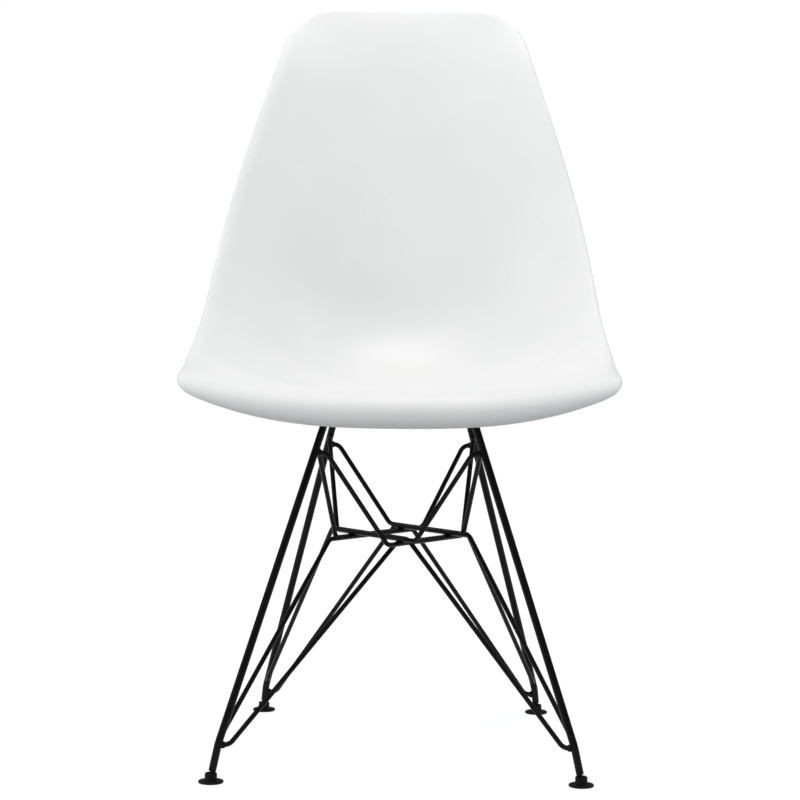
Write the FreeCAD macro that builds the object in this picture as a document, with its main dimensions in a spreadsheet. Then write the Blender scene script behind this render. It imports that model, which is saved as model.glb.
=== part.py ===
import FreeCAD, Part
import math
import os

import Sketcher
from FreeCAD import Placement, Rotation, Vector

# Moulded plastic shell chair on a bent and welded rod base.
# It is drawn about a vertical line through the middle of its feet, and set over its own middle
# at the end: origin on the floor, +Z up, the sitter faces -Y. Lengths are millimetres.
# Left and right are -X and +X, as a person facing the chair sees them.

SIZES = [
    # name, value, meaning
    ("shell_width", 457.4, "width of the shell across its front corners"),
    ("shell_top", 832.0, "height of the top edge of the back"),
    ("crest_height", 405.0, "height of the front crest of the seat"),
    ("lip_drop", 38.0, "how far the front lip hangs below the crest"),
    ("front_reach", 236.0, "front nose, forward of the middle of the feet"),
    ("hollow_depth", 17.0, "depth of the seat hollow below the crest"),
    ("heel_rise", 48.0, "foot of the back above the crest"),
    ("heel_reach", 175.0, "foot of the back, behind the middle of the feet"),
    ("back_reach", 268.0, "top edge of the back, behind the middle of the feet"),
    ("shell_wall", 5.0, "wall of the moulding"),
    ("flange_width", 12.0, "width of the turned rim"),
    ("flange_drop", 4.0, "how far the rim turns away from the sitter"),
    ("boss_stand", 3.5, "least length of a boss below the hollow"),
    ("boss_diameter", 26.0, "moulded mounting boss"),
    ("insert_depth", 6.5, "length of a threaded insert"),
    ("insert_diameter", 9.0, "outside of a threaded insert"),
    ("thread_diameter", 6.0, "nominal screw size"),
    ("fit_clearance", 0.1, "radial clearance of fixed fits"),
    ("hole_to_rail", 12.4, "mounting hole to the rear end of the rail beside it, across"),
    ("hole_to_rod", 16.0, "mounting hole to the axis of the cross rod beside it, along"),
    ("pad_thickness", 3.0, "rubber mounting pad"),
    ("pad_diameter", 24.0, "rubber mounting pad"),
    ("plate_thickness", 3.0, "welded mounting plate"),
    ("plate_corner", 5.0, "corner radius of a mounting plate"),
    ("plate_margin", 14.0, "plate edge from the hole towards the middle"),
    ("washer_diameter", 12.0, "plain washer"),
    ("washer_thickness", 1.6, "plain washer"),
    ("bolt_head_width", 10.0, "hexagon across its flats"),
    ("bolt_head_height", 4.0, "hexagon head"),
    ("bolt_tip_gap", 0.5, "bolt tip to the blind end of its hole"),
    ("leg_diameter", 8.0, "leg rod"),
    ("brace_diameter", 5.2, "brace wire"),
    ("rail_bend", 16.0, "bend radius between a leg and its rail"),
    ("ankle_bend", 30.0, "bend radius above the foot"),
    ("foot_front_across", 190.0, "front foot from the middle plane"),
    ("foot_front_along", 200.0, "front foot from the middle of the feet"),
    ("foot_rear_across", 161.4, "rear foot from the middle plane"),
    ("foot_rear_along", 200.0, "rear foot from the middle of the feet"),
    ("rail_front_across", 77.8, "front end of a top rail from the middle plane"),
    ("rail_rear_across", 72.4, "rear end of a top rail from the middle plane"),
    ("rail_along", 95.0, "end of a top rail from the middle of the feet"),
    ("cross_rod_inset", 7.0, "cross rod from the end of a top rail"),
    ("ankle_front_height", 40.0, "bend above the front foot"),
    ("ankle_rear_height", 30.0, "bend above the rear foot"),
    ("ankle_front_slope", 0.215, "sideways slope of a front leg below its ankle"),
    ("ankle_rear_slope", 0.1, "sideways slope of a rear leg below its ankle"),
    ("ankle_slope_along", 0.06, "fore and aft slope of a leg below its ankle"),
    ("ring_height", 232.4, "axis of the lower layer of the brace ring"),
    ("ring_front", 63.5, "front crossing of the ring from the middle of the feet"),
    ("ring_rear", 61.0, "rear crossing of the ring from the middle of the feet"),
    ("ring_side", 52.6, "side crossings of the ring from the middle plane"),
    ("weld_gap", 0.2, "gap between welded wires"),
    ("pair_gap", 0.5, "gap between the two wires of a link"),
    ("front_lower_under", 2.0, "run of a lower brace past the front crossing, where it is under"),
    ("front_lower_over", 11.2, "run of a lower brace past the front crossing, where it is over"),
    ("front_upper_under", 22.4, "run of an upper brace past the front crossing, where it is under"),
    ("front_upper_over", 31.0, "run of an upper brace past the front crossing, where it is over"),
    ("rear_lower_under", 18.0, "run of a lower brace past the rear crossing, where it is under"),
    ("rear_lower_over", 5.9, "run of a lower brace past the rear crossing, where it is over"),
    ("rear_upper_under", 41.3, "run of an upper brace past the rear crossing, where it is under"),
    ("rear_upper_over", 21.6, "run of an upper brace past the rear crossing, where it is over"),
    ("side_lower_run", 39.0, "run of a lower brace past a side crossing"),
    ("side_upper_run", 23.0, "run of an upper brace past a side crossing"),
    ("ring_bend", 9.0, "bend radius of a brace at the ring"),
    ("hook_bend", 11.0, "bend radius of a brace at the leg"),
    ("hook_stub", 1.0, "straight end of a brace at the leg"),
    ("weld_throat", 1.3, "how far a weld bead stands out around its rod"),
    ("face_lower_front", 39.1, "lower brace end on the inner side of a front leg, height"),
    ("face_lower_rear", 22.5, "lower brace end on the inner side of a rear leg, height"),
    ("face_upper_front", 36.5, "upper brace end on the inner side of a front leg, below the rail"),
    ("face_upper_rear", 44.5, "upper brace end on the inner side of a rear leg, below the rail"),
    ("side_lower_front", 45.6, "lower brace end behind a front leg, height"),
    ("side_lower_rear", 39.8, "lower brace end before a rear leg, height"),
    ("side_upper_front", 29.6, "upper brace end behind a front leg, below the rail"),
    ("side_upper_rear", 36.3, "upper brace end before a rear leg, below the rail"),
    ("ball_diameter", 7.2, "ball under the leg"),
    ("ball_height", 6.2, "centre of the ball above the floor"),
    ("neck_diameter", 4.2, "neck above the ball"),
    ("stud_length", 6.8, "centre of the ball to the end of the leg rod"),
    ("collar_height", 0.8, "collar under the end of the leg rod"),
    ("socket_clearance", 0.2, "radial clearance of the ball in its socket"),
    ("glide_diameter", 26.2, "disc of a foot glide"),
    ("glide_thickness", 3.8, "disc of a foot glide, thickness at its cap"),
    ("disc_edge", 2.8, "disc of a foot glide, thickness at its rim"),
    ("cap_diameter", 12.8, "socket cap of a foot glide"),
    ("cap_height", 10.8, "top of the socket cap above the floor"),
    ("mouth_diameter", 8.2, "mouth of the socket cap"),
    ("disc_rim", 1.2, "rounding of the disc of a foot glide"),
    ("cap_shoulder", 2.0, "rounding of the socket cap"),
]

doc = FreeCAD.newDocument("shell_chair")
sheet = doc.addObject("Spreadsheet::Sheet", "Sizes")
for row, (alias, value, meaning) in enumerate(SIZES, start=1):
    sheet.set(f"A{row}", alias)
    sheet.set(f"B{row}", str(value))
    sheet.set(f"C{row}", meaning)
    sheet.setAlias(f"B{row}", alias)
doc.recompute()

size = {alias: float(sheet.get(alias)) for alias, value, meaning in SIZES}

exported = []


def keep(part, label):
    """Name a finished piece and put it on the list of pieces to export."""
    part.Label = label
    exported.append(part)
    return part


def feature(name, shape):
    """Hold a computed shape as an object of the document."""
    part = doc.addObject("Part::Feature", name)
    part.Shape = shape
    part.Placement = Placement()
    return part


def origin_plane(body, role):
    """One of the origin planes of a body."""
    for plane in body.Origin.OriginFeatures:
        if plane.Role == role:
            return plane
    raise ValueError(role)


def sketch_on(body, role, name):
    """An empty sketch on one of the origin planes of a body."""
    sketch = body.newObject("Sketcher::SketchObject", name)
    sketch.AttachmentSupport = [(origin_plane(body, role), "")]
    sketch.MapMode = "FlatFace"
    return sketch


# Levels of the mount stack, from the seat down to the top rail

leg_radius = size["leg_diameter"] / 2
brace_radius = size["brace_diameter"] / 2
boss_bottom = size["crest_height"] - size["hollow_depth"] - size["shell_wall"] - size["boss_stand"]
pad_bottom = boss_bottom - size["pad_thickness"]
plate_bottom = pad_bottom - size["plate_thickness"]
rail_height = plate_bottom - leg_radius
cross_rod_along = size["rail_along"] - size["cross_rod_inset"]
mount_across = size["rail_rear_across"] - size["hole_to_rail"]
mount_along = cross_rod_along - size["hole_to_rod"]
mount_points = [(side * mount_across, end * mount_along) for end in (-1, 1) for side in (-1, 1)]


# Seat shell: a sheet drawn through stations that run from the front lip to the top of the back.
# Each station has a point on the middle plane, a point on the right rim, and two exponents:
# how late the sheet leaves the middle plane's depth and height on its way out to the rim.

half_width = size["shell_width"] / 2
crest = size["crest_height"]
nose = -size["front_reach"]
hollow = crest - size["hollow_depth"]
heel = size["heel_reach"]
heel_height = crest + size["heel_rise"]
top = size["shell_top"]
back_rise = top - heel_height
back_lean = size["back_reach"] - heel


def back_point(share, lean):
    """A point of the back on the middle plane, as shares of its rise and of its lean."""
    return heel + back_lean * lean, heel_height + back_rise * share


STATIONS = [
    # middle (y, z), rim (x, y, z), exponents of depth and of height
    ((nose + 13, crest - size["lip_drop"]), (half_width - 22.7, nose + 44, crest - 10), 2.4, 2.8),
    ((nose + 3, crest - 31), (half_width - 14, nose + 42, crest - 6), 2.4, 2.8),
    ((nose, crest - 20), (half_width - 6, nose + 44, crest), 2.4, 2.8),
    ((nose + 8, crest - 7), (half_width - 0.8, nose + 51, crest + 9), 2.4, 2.8),
    ((nose + 32, crest), (half_width - 0.7, nose + 80, crest + 19), 2.4, 2.7),
    ((nose + 120, crest - 7), (half_width - 5.2, nose + 134, crest + 35), 2.4, 2.6),
    ((-25, hollow + 3), (half_width - 9, -45, crest + 52), 2.4, 2.5),
    ((48, hollow), (half_width - 12, 15, crest + 74), 2.4, 2.4),
    ((heel - 69, hollow + 8), (half_width - 15.2, 60, crest + 101), 2.4, 2.4),
    ((heel - 29, hollow + 30), (half_width - 19.5, heel - 83, crest + 131), 2.3, 2.4),
    (back_point(0, 0), (half_width - 24.5, heel - 60, crest + 160), 2.2, 2.3),
    (back_point(0.137, 0.178), (half_width - 31.5, heel - 38, crest + 194), 2.2, 2.2),
    (back_point(0.361, 0.319), (half_width - 45.5, heel - 9, crest + 250), 2.2, 2.2),
    (back_point(0.599, 0.502), (half_width - 64.5, heel + 21, top - 112), 2.2, 2.2),
    (back_point(0.822, 0.745), (half_width - 82.5, heel + 50, top - 54), 2.2, 3.0),
    (back_point(0.945, 0.907), (half_width - 94.5, heel + 70, top - 26), 2.2, 5.0),
    (back_point(1, 1), (half_width - 105.7, heel + 79, top - 16), 2.2, 7.4),
]


def station_curves():
    """Smooth curves through the middle points, the rim points and the exponents."""
    middles = [Vector(0, y, z) for (y, z), rim, depth, height in STATIONS]
    rims = [Vector(*rim) for middle, rim, depth, height in STATIONS]
    steps = [0.0]
    for here, there in zip(range(len(STATIONS) - 1), range(1, len(STATIONS))):
        run = (middles[there] - middles[here]).Length + (rims[there] - rims[here]).Length
        steps.append(steps[-1] + run)
    knots = [step / steps[-1] for step in steps]
    bows = [Vector(row[2], row[3], knot) for row, knot in zip(STATIONS, knots)]
    curves = []
    for points in (middles, rims, bows):
        curve = Part.BSplineCurve()
        curve.interpolate(Points=points, Parameters=knots)
        curves.append(curve)
    return curves


middle_curve, rim_curve, bow_curve = station_curves()


def bowl_point(along, across):
    """A point of the sitting face before its rim is turned."""
    middle = middle_curve.value(along)
    rim = rim_curve.value(along)
    bow = bow_curve.value(along)
    reach = abs(across)
    depth = middle.y + (rim.y - middle.y) * reach**bow.x
    height = middle.z + (rim.z - middle.z) * reach**bow.y
    return Vector(rim.x * across, depth, height)


def face_normal(point_at, along, across):
    """The unit normal of a sheet, on the sitter's side."""
    step = 1e-3
    low_along = max(along - step, 0)
    high_along = min(along + step, 1)
    low_across = max(across - step, -1)
    high_across = min(across + step, 1)
    run = point_at(high_along, across) - point_at(low_along, across)
    span = point_at(along, high_across) - point_at(along, low_across)
    return span.cross(run).normalize()


# The turned rim fades out over this share of the sheet at the lip and at the top edge
FLANGE_FADE = 0.12


def sitting_point(along, across):
    """A point of the sitting face, with the rim turned away from the sitter."""
    point = bowl_point(along, across)
    inset = rim_curve.value(along).x * (1 - abs(across))
    if inset >= size["flange_width"]:
        return point
    fade = min(1.0, along / FLANGE_FADE, (1 - along) / FLANGE_FADE)
    turn = size["flange_drop"] * (1 - inset / size["flange_width"])**2
    turn *= fade * fade * (3 - 2 * fade)
    return point - face_normal(bowl_point, along, across) * turn


def under_point(along, across):
    """A point of the underside, one wall behind the sitting face."""
    normal = face_normal(sitting_point, along, across)
    return sitting_point(along, across) - normal * size["shell_wall"]


def grid_face(point_at, rows, columns):
    """A smooth face through a grid of points of a sheet."""
    surface = Part.BSplineSurface()
    surface.interpolate([[point_at(along, across) for across in columns] for along in rows])
    return surface.toShape()


def spread(count):
    """Places across the shell from -1 to 1, closer together towards the rims."""
    return [math.sin(math.pi / 2 * (2 * i / count - 1)) for i in range(count + 1)]


def shell_skin():
    """The moulding without its bosses: sitting face, underside and four edges."""
    rows = [i / 48 for i in range(49)]
    columns = spread(28)
    sitting = grid_face(sitting_point, rows, columns)
    under = grid_face(under_point, rows, columns)
    borders = []
    for upper_edge in sitting.Edges:
        middle = upper_edge.valueAt((upper_edge.FirstParameter + upper_edge.LastParameter) / 2)
        lower_edge = min(
            under.Edges,
            key=lambda edge: edge.valueAt((edge.FirstParameter + edge.LastParameter) / 2)
            .distanceToPoint(middle),
        )
        borders.append(Part.makeRuledSurface(upper_edge, lower_edge))
    skin = Part.makeShell([sitting, under] + borders)
    skin.sewShape()
    solid = Part.makeSolid(skin)
    if solid.Volume < 0:
        solid.reverse()
    return solid, under


skin_solid, under_face = shell_skin()
skin = feature("shell_skin", skin_solid)


def under_height(x, y):
    """Height of the underside over a place on the floor."""
    line = Part.makeLine(Vector(x, y, boss_bottom - 20), Vector(x, y, crest + 60))
    return min(vertex.Z for vertex in under_face.section(line).Vertexes)


boss_parts = []
for number, (x, y) in enumerate(mount_points, start=1):
    boss = doc.addObject("Part::Cylinder", f"boss_{number}")
    boss.setExpression("Radius", "Sizes.boss_diameter / 2")
    boss.Height = under_height(x, y) + size["shell_wall"] / 2 - boss_bottom
    boss.Placement = Placement(Vector(x, y, boss_bottom), Rotation())
    boss_parts.append(boss)

hole_parts = []
for number, (x, y) in enumerate(mount_points, start=1):
    hole = doc.addObject("Part::Cylinder", f"boss_hole_{number}")
    hole.setExpression("Radius", "Sizes.insert_diameter / 2 + Sizes.fit_clearance")
    hole.setExpression("Height", "Sizes.insert_depth + Sizes.bolt_tip_gap")
    hole.Placement = Placement(Vector(x, y, boss_bottom), Rotation())
    hole_parts.append(hole)

moulding = doc.addObject("Part::MultiFuse", "moulding")
moulding.Shapes = [skin] + boss_parts
boss_holes = doc.addObject("Part::Compound", "boss_holes")
boss_holes.Links = hole_parts
seat_shell = doc.addObject("Part::Cut", "seat_shell")
seat_shell.Base = moulding
seat_shell.Tool = boss_holes
keep(seat_shell, "seat_shell")


# Mount stack: insert, pad, plate, washer and bolt at each of the four bosses


def ring_body(name, outer, inner, thickness):
    """A flat ring about the local Z axis; the three sizes are expressions."""
    body = doc.addObject("PartDesign::Body", name)
    sketch = sketch_on(body, "XY_Plane", name + "_sketch")
    for alias, diameter in (("outer", 20), ("inner", 10)):
        curve = sketch.addGeometry(Part.Circle(Vector(0, 0, 0), Vector(0, 0, 1), diameter / 2))
        sketch.addConstraint(Sketcher.Constraint("Coincident", curve, 3, -1, 1))
        rule = sketch.addConstraint(Sketcher.Constraint("Diameter", curve, diameter))
        sketch.renameConstraint(rule, alias)
    sketch.setExpression("Constraints.outer", outer)
    sketch.setExpression("Constraints.inner", inner)
    pad = body.newObject("PartDesign::Pad", name + "_pad")
    pad.Profile = sketch
    pad.setExpression("Length", thickness)
    body.Tip = pad
    return body


def four_of(label, master, level):
    """Four placed copies of a master piece, one under each boss, as one node."""
    doc.recompute()
    copies = []
    for number, (x, y) in enumerate(mount_points, start=1):
        copy = feature(f"{label}_{number}", master.Shape.copy())
        copy.Placement = Placement(Vector(x, y, level), Rotation())
        copies.append(copy)
    group = doc.addObject("Part::Compound", label)
    group.Links = copies
    return keep(group, label)


insert_master = ring_body(
    "insert_master", "Sizes.insert_diameter", "Sizes.thread_diameter", "Sizes.insert_depth"
)
four_of("threaded_inserts", insert_master, boss_bottom)

washer_master = ring_body(
    "washer_master",
    "Sizes.washer_diameter",
    "Sizes.thread_diameter + 4 * Sizes.fit_clearance",
    "Sizes.washer_thickness",
)
washer_bottom = plate_bottom - size["washer_thickness"]
four_of("washers", washer_master, washer_bottom)

bolt_head = doc.addObject("Part::Prism", "bolt_head")
bolt_head.Polygon = 6
bolt_head.setExpression("Circumradius", "Sizes.bolt_head_width / 2 / cos(30 deg)")
bolt_head.setExpression("Height", "Sizes.bolt_head_height")
bolt_shank = doc.addObject("Part::Cylinder", "bolt_shank")
bolt_shank.setExpression("Radius", "Sizes.thread_diameter / 2 - Sizes.fit_clearance")
bolt_shank.setExpression(
    "Height",
    "Sizes.bolt_head_height + Sizes.washer_thickness + Sizes.plate_thickness"
    " + Sizes.pad_thickness + Sizes.insert_depth",
)
bolt_master = doc.addObject("Part::Fuse", "bolt_master")
bolt_master.Base = bolt_head
bolt_master.Tool = bolt_shank
four_of("mount_bolts", bolt_master, washer_bottom - size["bolt_head_height"])

end_names = {-1: "front", 1: "rear"}
side_names = {-1: "left", 1: "right"}
corners = [(side, end) for end in (-1, 1) for side in (-1, 1)]


def corner_name(side, end):
    """Plain name of a corner of the chair."""
    return f"{end_names[end]}_{side_names[side]}"


for side, end in corners:
    mounting_pad = ring_body(
        f"pad_{corner_name(side, end)}",
        "Sizes.pad_diameter",
        "Sizes.thread_diameter + 4 * Sizes.fit_clearance",
        "Sizes.pad_thickness",
    )
    mounting_pad.Placement = Placement(
        Vector(side * mount_across, end * mount_along, pad_bottom), Rotation()
    )
    keep(mounting_pad, f"{corner_name(side, end)}_mounting_pad")


def mounting_plate(side, end):
    """A plate welded over a rail and a cross rod, with the bolt hole at its local origin."""
    name = f"plate_{corner_name(side, end)}"
    body = doc.addObject("PartDesign::Body", name)
    sketch = sketch_on(body, "XY_Plane", name + "_sketch")
    points = [Vector(-20, -20, 0), Vector(20, -20, 0), Vector(20, 20, 0), Vector(-20, 20, 0)]
    for start in range(4):
        sketch.addGeometry(Part.LineSegment(points[start], points[(start + 1) % 4]))
    for line in range(4):
        sketch.addConstraint(Sketcher.Constraint("Coincident", line, 2, (line + 1) % 4, 1))
        direction = "Horizontal" if line % 2 == 0 else "Vertical"
        sketch.addConstraint(Sketcher.Constraint(direction, line))
    margin = "Sizes.plate_margin"
    over_rail = "(Sizes.hole_to_rail + Sizes.leg_diameter / 4"
    over_rail += " + Sizes.rail_front_across - Sizes.rail_rear_across)" if end < 0 else ")"
    over_rod = "(Sizes.hole_to_rod + Sizes.leg_diameter / 2)"
    edges = {
        "left": ("DistanceX", 0, f"-{margin}" if side > 0 else f"-{over_rail}"),
        "right": ("DistanceX", 2, over_rail if side > 0 else margin),
        "near": ("DistanceY", 0, f"-{margin}" if end > 0 else f"-{over_rod}"),
        "far": ("DistanceY", 2, over_rod if end > 0 else margin),
    }
    for alias, (kind, line, rule) in edges.items():
        value = -20 if alias in ("left", "near") else 20
        number = sketch.addConstraint(Sketcher.Constraint(kind, -1, 1, line, 1, value))
        sketch.renameConstraint(number, alias)
        sketch.setExpression(f"Constraints.{alias}", rule)
    hole = sketch.addGeometry(Part.Circle(Vector(0, 0, 0), Vector(0, 0, 1), 3))
    sketch.addConstraint(Sketcher.Constraint("Coincident", hole, 3, -1, 1))
    number = sketch.addConstraint(Sketcher.Constraint("Diameter", hole, 6))
    sketch.renameConstraint(number, "hole")
    sketch.setExpression("Constraints.hole", "Sizes.thread_diameter + 4 * Sizes.fit_clearance")
    slab = body.newObject("PartDesign::Pad", name + "_pad")
    slab.Profile = sketch
    slab.setExpression("Length", "Sizes.plate_thickness")
    doc.recompute()
    upright = [
        f"Edge{number}"
        for number, edge in enumerate(slab.Shape.Edges, start=1)
        if edge.Curve.TypeId == "Part::GeomLine" and abs(edge.tangentAt(edge.FirstParameter).z) > 0.9
    ]
    rounded = body.newObject("PartDesign::Fillet", name + "_fillet")
    rounded.Base = (slab, upright)
    rounded.setExpression("Radius", "Sizes.plate_corner")
    body.Tip = rounded
    place = Vector(side * mount_across, end * mount_along, plate_bottom)
    body.Placement = Placement(place, Rotation())
    return keep(body, f"{corner_name(side, end)}_mounting_plate")


for side, end in corners:
    mounting_plate(side, end)


# Bent rods: straight runs joined by tangent arcs, swept with a round section


def bent_path(points, radii):
    """A wire of straight runs through points, with an arc of the given radius at each bend."""
    edges = []
    start = points[0]
    for before, corner, after, radius in zip(points, points[1:], points[2:], radii):
        toward = (before - corner).normalize()
        onward = (after - corner).normalize()
        half_angle = toward.getAngle(onward) / 2
        setback = radius / math.tan(half_angle)
        arc_start = corner + toward * setback
        arc_end = corner + onward * setback
        bisector = (toward + onward).normalize()
        arc_middle = corner + bisector * (radius / math.sin(half_angle) - radius)
        edges.append(Part.LineSegment(start, arc_start).toShape())
        edges.append(Part.Arc(arc_start, arc_middle, arc_end).toShape())
        start = arc_end
    edges.append(Part.LineSegment(start, points[-1]).toShape())
    return Part.Wire(edges)


def bent_rod(label, points, radii, diameter):
    """A round rod or wire bent through points; its diameter is the alias of a size."""
    path = feature(label + "_path", bent_path(points, radii))
    section = doc.addObject("Part::Circle", label + "_section")
    section.setExpression("Radius", f"Sizes.{diameter} / 2")
    facing = Rotation(Vector(0, 0, 1), points[1] - points[0])
    section.Placement = Placement(points[0], facing)
    rod = doc.addObject("Part::Sweep", label)
    rod.Sections = [section]
    rod.Spine = (path, [f"Edge{number + 1}" for number in range(len(path.Shape.Edges))])
    rod.Solid = True
    rod.Frenet = False
    doc.recompute()
    expected = math.pi * (size[diameter] / 2)**2 * path.Shape.Length
    if abs(rod.Shape.Volume / expected - 1) > 0.01:
        raise ValueError(f"{label}: volume {rod.Shape.Volume:.0f}, expected {expected:.0f}")
    return keep(rod, label)


feet = {
    -1: (size["foot_front_across"], size["foot_front_along"]),
    1: (size["foot_rear_across"], size["foot_rear_along"]),
}
ankle_slopes = {-1: size["ankle_front_slope"], 1: size["ankle_rear_slope"]}
ankle_heights = {-1: size["ankle_front_height"], 1: size["ankle_rear_height"]}
rail_across = {-1: size["rail_front_across"], 1: size["rail_rear_across"]}


def ball_centre(side, end):
    """Centre of the ball under a leg."""
    across, along = feet[end]
    return Vector(side * across, end * along, size["ball_height"])


def ankle_lean(side, end):
    """Direction of the leg below its ankle, from the ball upwards."""
    lean = Vector(-side * ankle_slopes[end], -end * size["ankle_slope_along"], 1)
    return lean.normalize()


def ankle(side, end):
    """Corner of the bend above a foot."""
    lean = ankle_lean(side, end)
    return ball_centre(side, end) + lean * ((ankle_heights[end] - size["ball_height"]) / lean.z)


def rail_end(side, end):
    """Corner between a leg and its top rail."""
    return Vector(side * rail_across[end], end * size["rail_along"], rail_height)


def leg_end(side, end):
    """Lower end of the leg rod, where the ball stud begins."""
    return ball_centre(side, end) + ankle_lean(side, end) * size["stud_length"]


def leg_run(side, end, height):
    """Both ends of the straight run of a leg that holds a height."""
    if height < ankle(side, end).z:
        return ball_centre(side, end), ankle(side, end)
    return ankle(side, end), rail_end(side, end)


leg_rods = {}
for side in (-1, 1):
    route = [
        leg_end(side, -1),
        ankle(side, -1),
        rail_end(side, -1),
        rail_end(side, 1),
        ankle(side, 1),
        leg_end(side, 1),
    ]
    bends = [size["ankle_bend"], size["rail_bend"], size["rail_bend"], size["ankle_bend"]]
    leg_rods[side] = bent_rod(f"{side_names[side]}_leg_rod", route, bends, "leg_diameter")

weld_beads = {"left_leg_welds": [], "right_leg_welds": [], "rail_welds": []}


def weld(group, centre, rod_diameter, rods):
    """A weld bead round the end of a rod, shaped by the rods that it joins."""
    bead = Part.makeSphere(rod_diameter / 2 + size["weld_throat"], centre)
    for rod in rods:
        bead = bead.cut(rod.Shape)
    weld_beads[group].append(max(bead.Solids, key=lambda solid: solid.Volume))


for end in (-1, 1):
    share = (size["rail_along"] + end * cross_rod_along) / (2 * size["rail_along"])
    rail_place = rail_across[-1] + (rail_across[1] - rail_across[-1]) * share
    reach = rail_place - leg_radius - size["weld_gap"]
    cross_rod = doc.addObject("Part::Cylinder", f"{end_names[end]}_cross_rod")
    cross_rod.setExpression("Radius", "Sizes.leg_diameter / 2")
    cross_rod.Height = 2 * reach
    cross_rod.Placement = Placement(
        Vector(-reach, end * cross_rod_along, rail_height),
        Rotation(Vector(0, 0, 1), Vector(1, 0, 0)),
    )
    keep(cross_rod, f"{end_names[end]}_cross_rod")
    doc.recompute()
    for side in (-1, 1):
        tip = Vector(side * reach, end * cross_rod_along, rail_height)
        plate = doc.getObjectsByLabel(f"{corner_name(side, end)}_mounting_plate")[0]
        weld("rail_welds", tip, size["leg_diameter"], [cross_rod, leg_rods[side], plate])


# Brace ring: eight wires. Each runs from the inner side of one leg along a link of the ring
# to the leg at the opposite corner, which it meets from before or behind. A link carries a lower
# brace on its inner side and an upper brace on its outer side. Two links lie on the other two.

pair_offset = brace_radius + size["pair_gap"] / 2
layer_rise = size["brace_diameter"] + size["weld_gap"]
crossings = {
    "front": Vector(0, -size["ring_front"], 0),
    "rear": Vector(0, size["ring_rear"], 0),
    "left": Vector(-size["ring_side"], 0, 0),
    "right": Vector(size["ring_side"], 0, 0),
}
LINKS = [
    # end of the ring, side of the ring, layer
    ("front", "right", 0),
    ("front", "left", 1),
    ("rear", "right", 1),
    ("rear", "left", 0),
]
layer_words = {0: "under", 1: "over"}


def hooked_end(side, end, height, way, target):
    """Start of a brace that leaves a leg in a given way, and the corner where it turns to a target."""
    low, high = leg_run(side, end, height)
    axis = high - low
    lean = abs(axis.dot(way)) / axis.z
    skin_distance = leg_radius * math.hypot(1, lean) + brace_radius * lean
    start = low + axis * ((height - low.z) / axis.z) + way * (skin_distance + size["weld_gap"])
    corner = start + way * size["hook_stub"]
    for attempt in range(8):
        half_turn = way.getAngle(target - corner) / 2
        corner = start + way * (size["hook_stub"] + size["hook_bend"] * math.tan(half_turn))
    return start, corner


for end_word, side_word, layer in LINKS:
    first, last = crossings[end_word], crossings[side_word]
    link = (last - first).normalize()
    middle = (first + last) / 2
    inward = Vector(-link.y, link.x, 0)
    if inward.dot(middle) > 0:
        inward = -inward
    rise = Vector(0, 0, size["ring_height"] + layer * layer_rise)
    end = -1 if end_word == "front" else 1
    side = 1 if side_word == "right" else -1
    for tier in ("lower", "upper"):
        shift = inward * (pair_offset if tier == "lower" else -pair_offset) + rise
        first_corner = first - link * size[f"{end_word}_{tier}_{layer_words[layer]}"] + shift
        last_corner = last + link * size[f"side_{tier}_run"] + shift
        face_height = size[f"face_{tier}_{end_names[end]}"]
        side_height = size[f"side_{tier}_{end_names[-end]}"]
        if tier == "upper":
            face_height = rail_height - face_height
            side_height = rail_height - side_height
        face_way, side_way = Vector(side, 0, 0), Vector(0, end, 0)
        face_start, face_hook = hooked_end(-side, end, face_height, face_way, first_corner)
        side_start, side_hook = hooked_end(side, -end, side_height, side_way, last_corner)
        route = [face_start, face_hook, first_corner, last_corner, side_hook, side_start]
        bends = [size["hook_bend"], size["ring_bend"], size["ring_bend"], size["hook_bend"]]
        label = f"{tier}_brace_{end_word}_{side_word}"
        brace = bent_rod(label, route, bends, "brace_diameter")
        face_group = f"{side_names[-side]}_leg_welds"
        side_group = f"{side_names[side]}_leg_welds"
        weld(face_group, face_start, size["brace_diameter"], [brace, leg_rods[-side]])
        weld(side_group, side_start, size["brace_diameter"], [brace, leg_rods[side]])

for label, beads in weld_beads.items():
    keep(feature(label, Part.makeCompound(beads)), label)


# Feet: a ball stud under each leg, held in the socket of a glide that tilts on it


def turned_body(name, outline):
    """A body turned about its local Z axis from a closed outline of radius and height."""
    body = doc.addObject("PartDesign::Body", name)
    sketch = sketch_on(body, "XZ_Plane", name + "_sketch")
    for curve in outline:
        sketch.addGeometry(curve)
    turned = body.newObject("PartDesign::Revolution", name + "_turned")
    turned.Profile = sketch
    turned.ReferenceAxis = (sketch, ["V_Axis"])
    turned.Angle = 360
    body.Tip = turned
    return body


def outline_of(steps):
    """Lines and arcs through steps: a point, or a pair of an arc's middle and its end."""
    curves = []
    here = steps[0]
    for step in steps[1:]:
        if isinstance(step, tuple):
            middle, there = step
            curves.append(Part.Arc(here, middle, there))
        else:
            there = step
            curves.append(Part.LineSegment(here, there))
        here = there
    return curves


def stud_outline():
    """A collar as wide as the leg, a neck and a ball centred on the local origin."""
    ball = size["ball_diameter"] / 2
    neck = size["neck_diameter"] / 2
    neck_foot = math.sqrt(ball**2 - neck**2)
    collar_foot = size["stud_length"] - size["collar_height"]
    chamfer = size["collar_height"] / 2
    return outline_of([
        Vector(0, -ball, 0),
        (Vector(ball, 0, 0), Vector(neck, neck_foot, 0)),
        Vector(neck, collar_foot, 0),
        Vector(leg_radius - chamfer, collar_foot, 0),
        Vector(leg_radius, collar_foot + chamfer, 0),
        Vector(leg_radius, size["stud_length"], 0),
        Vector(0, size["stud_length"], 0),
        Vector(0, -ball, 0),
    ])


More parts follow.
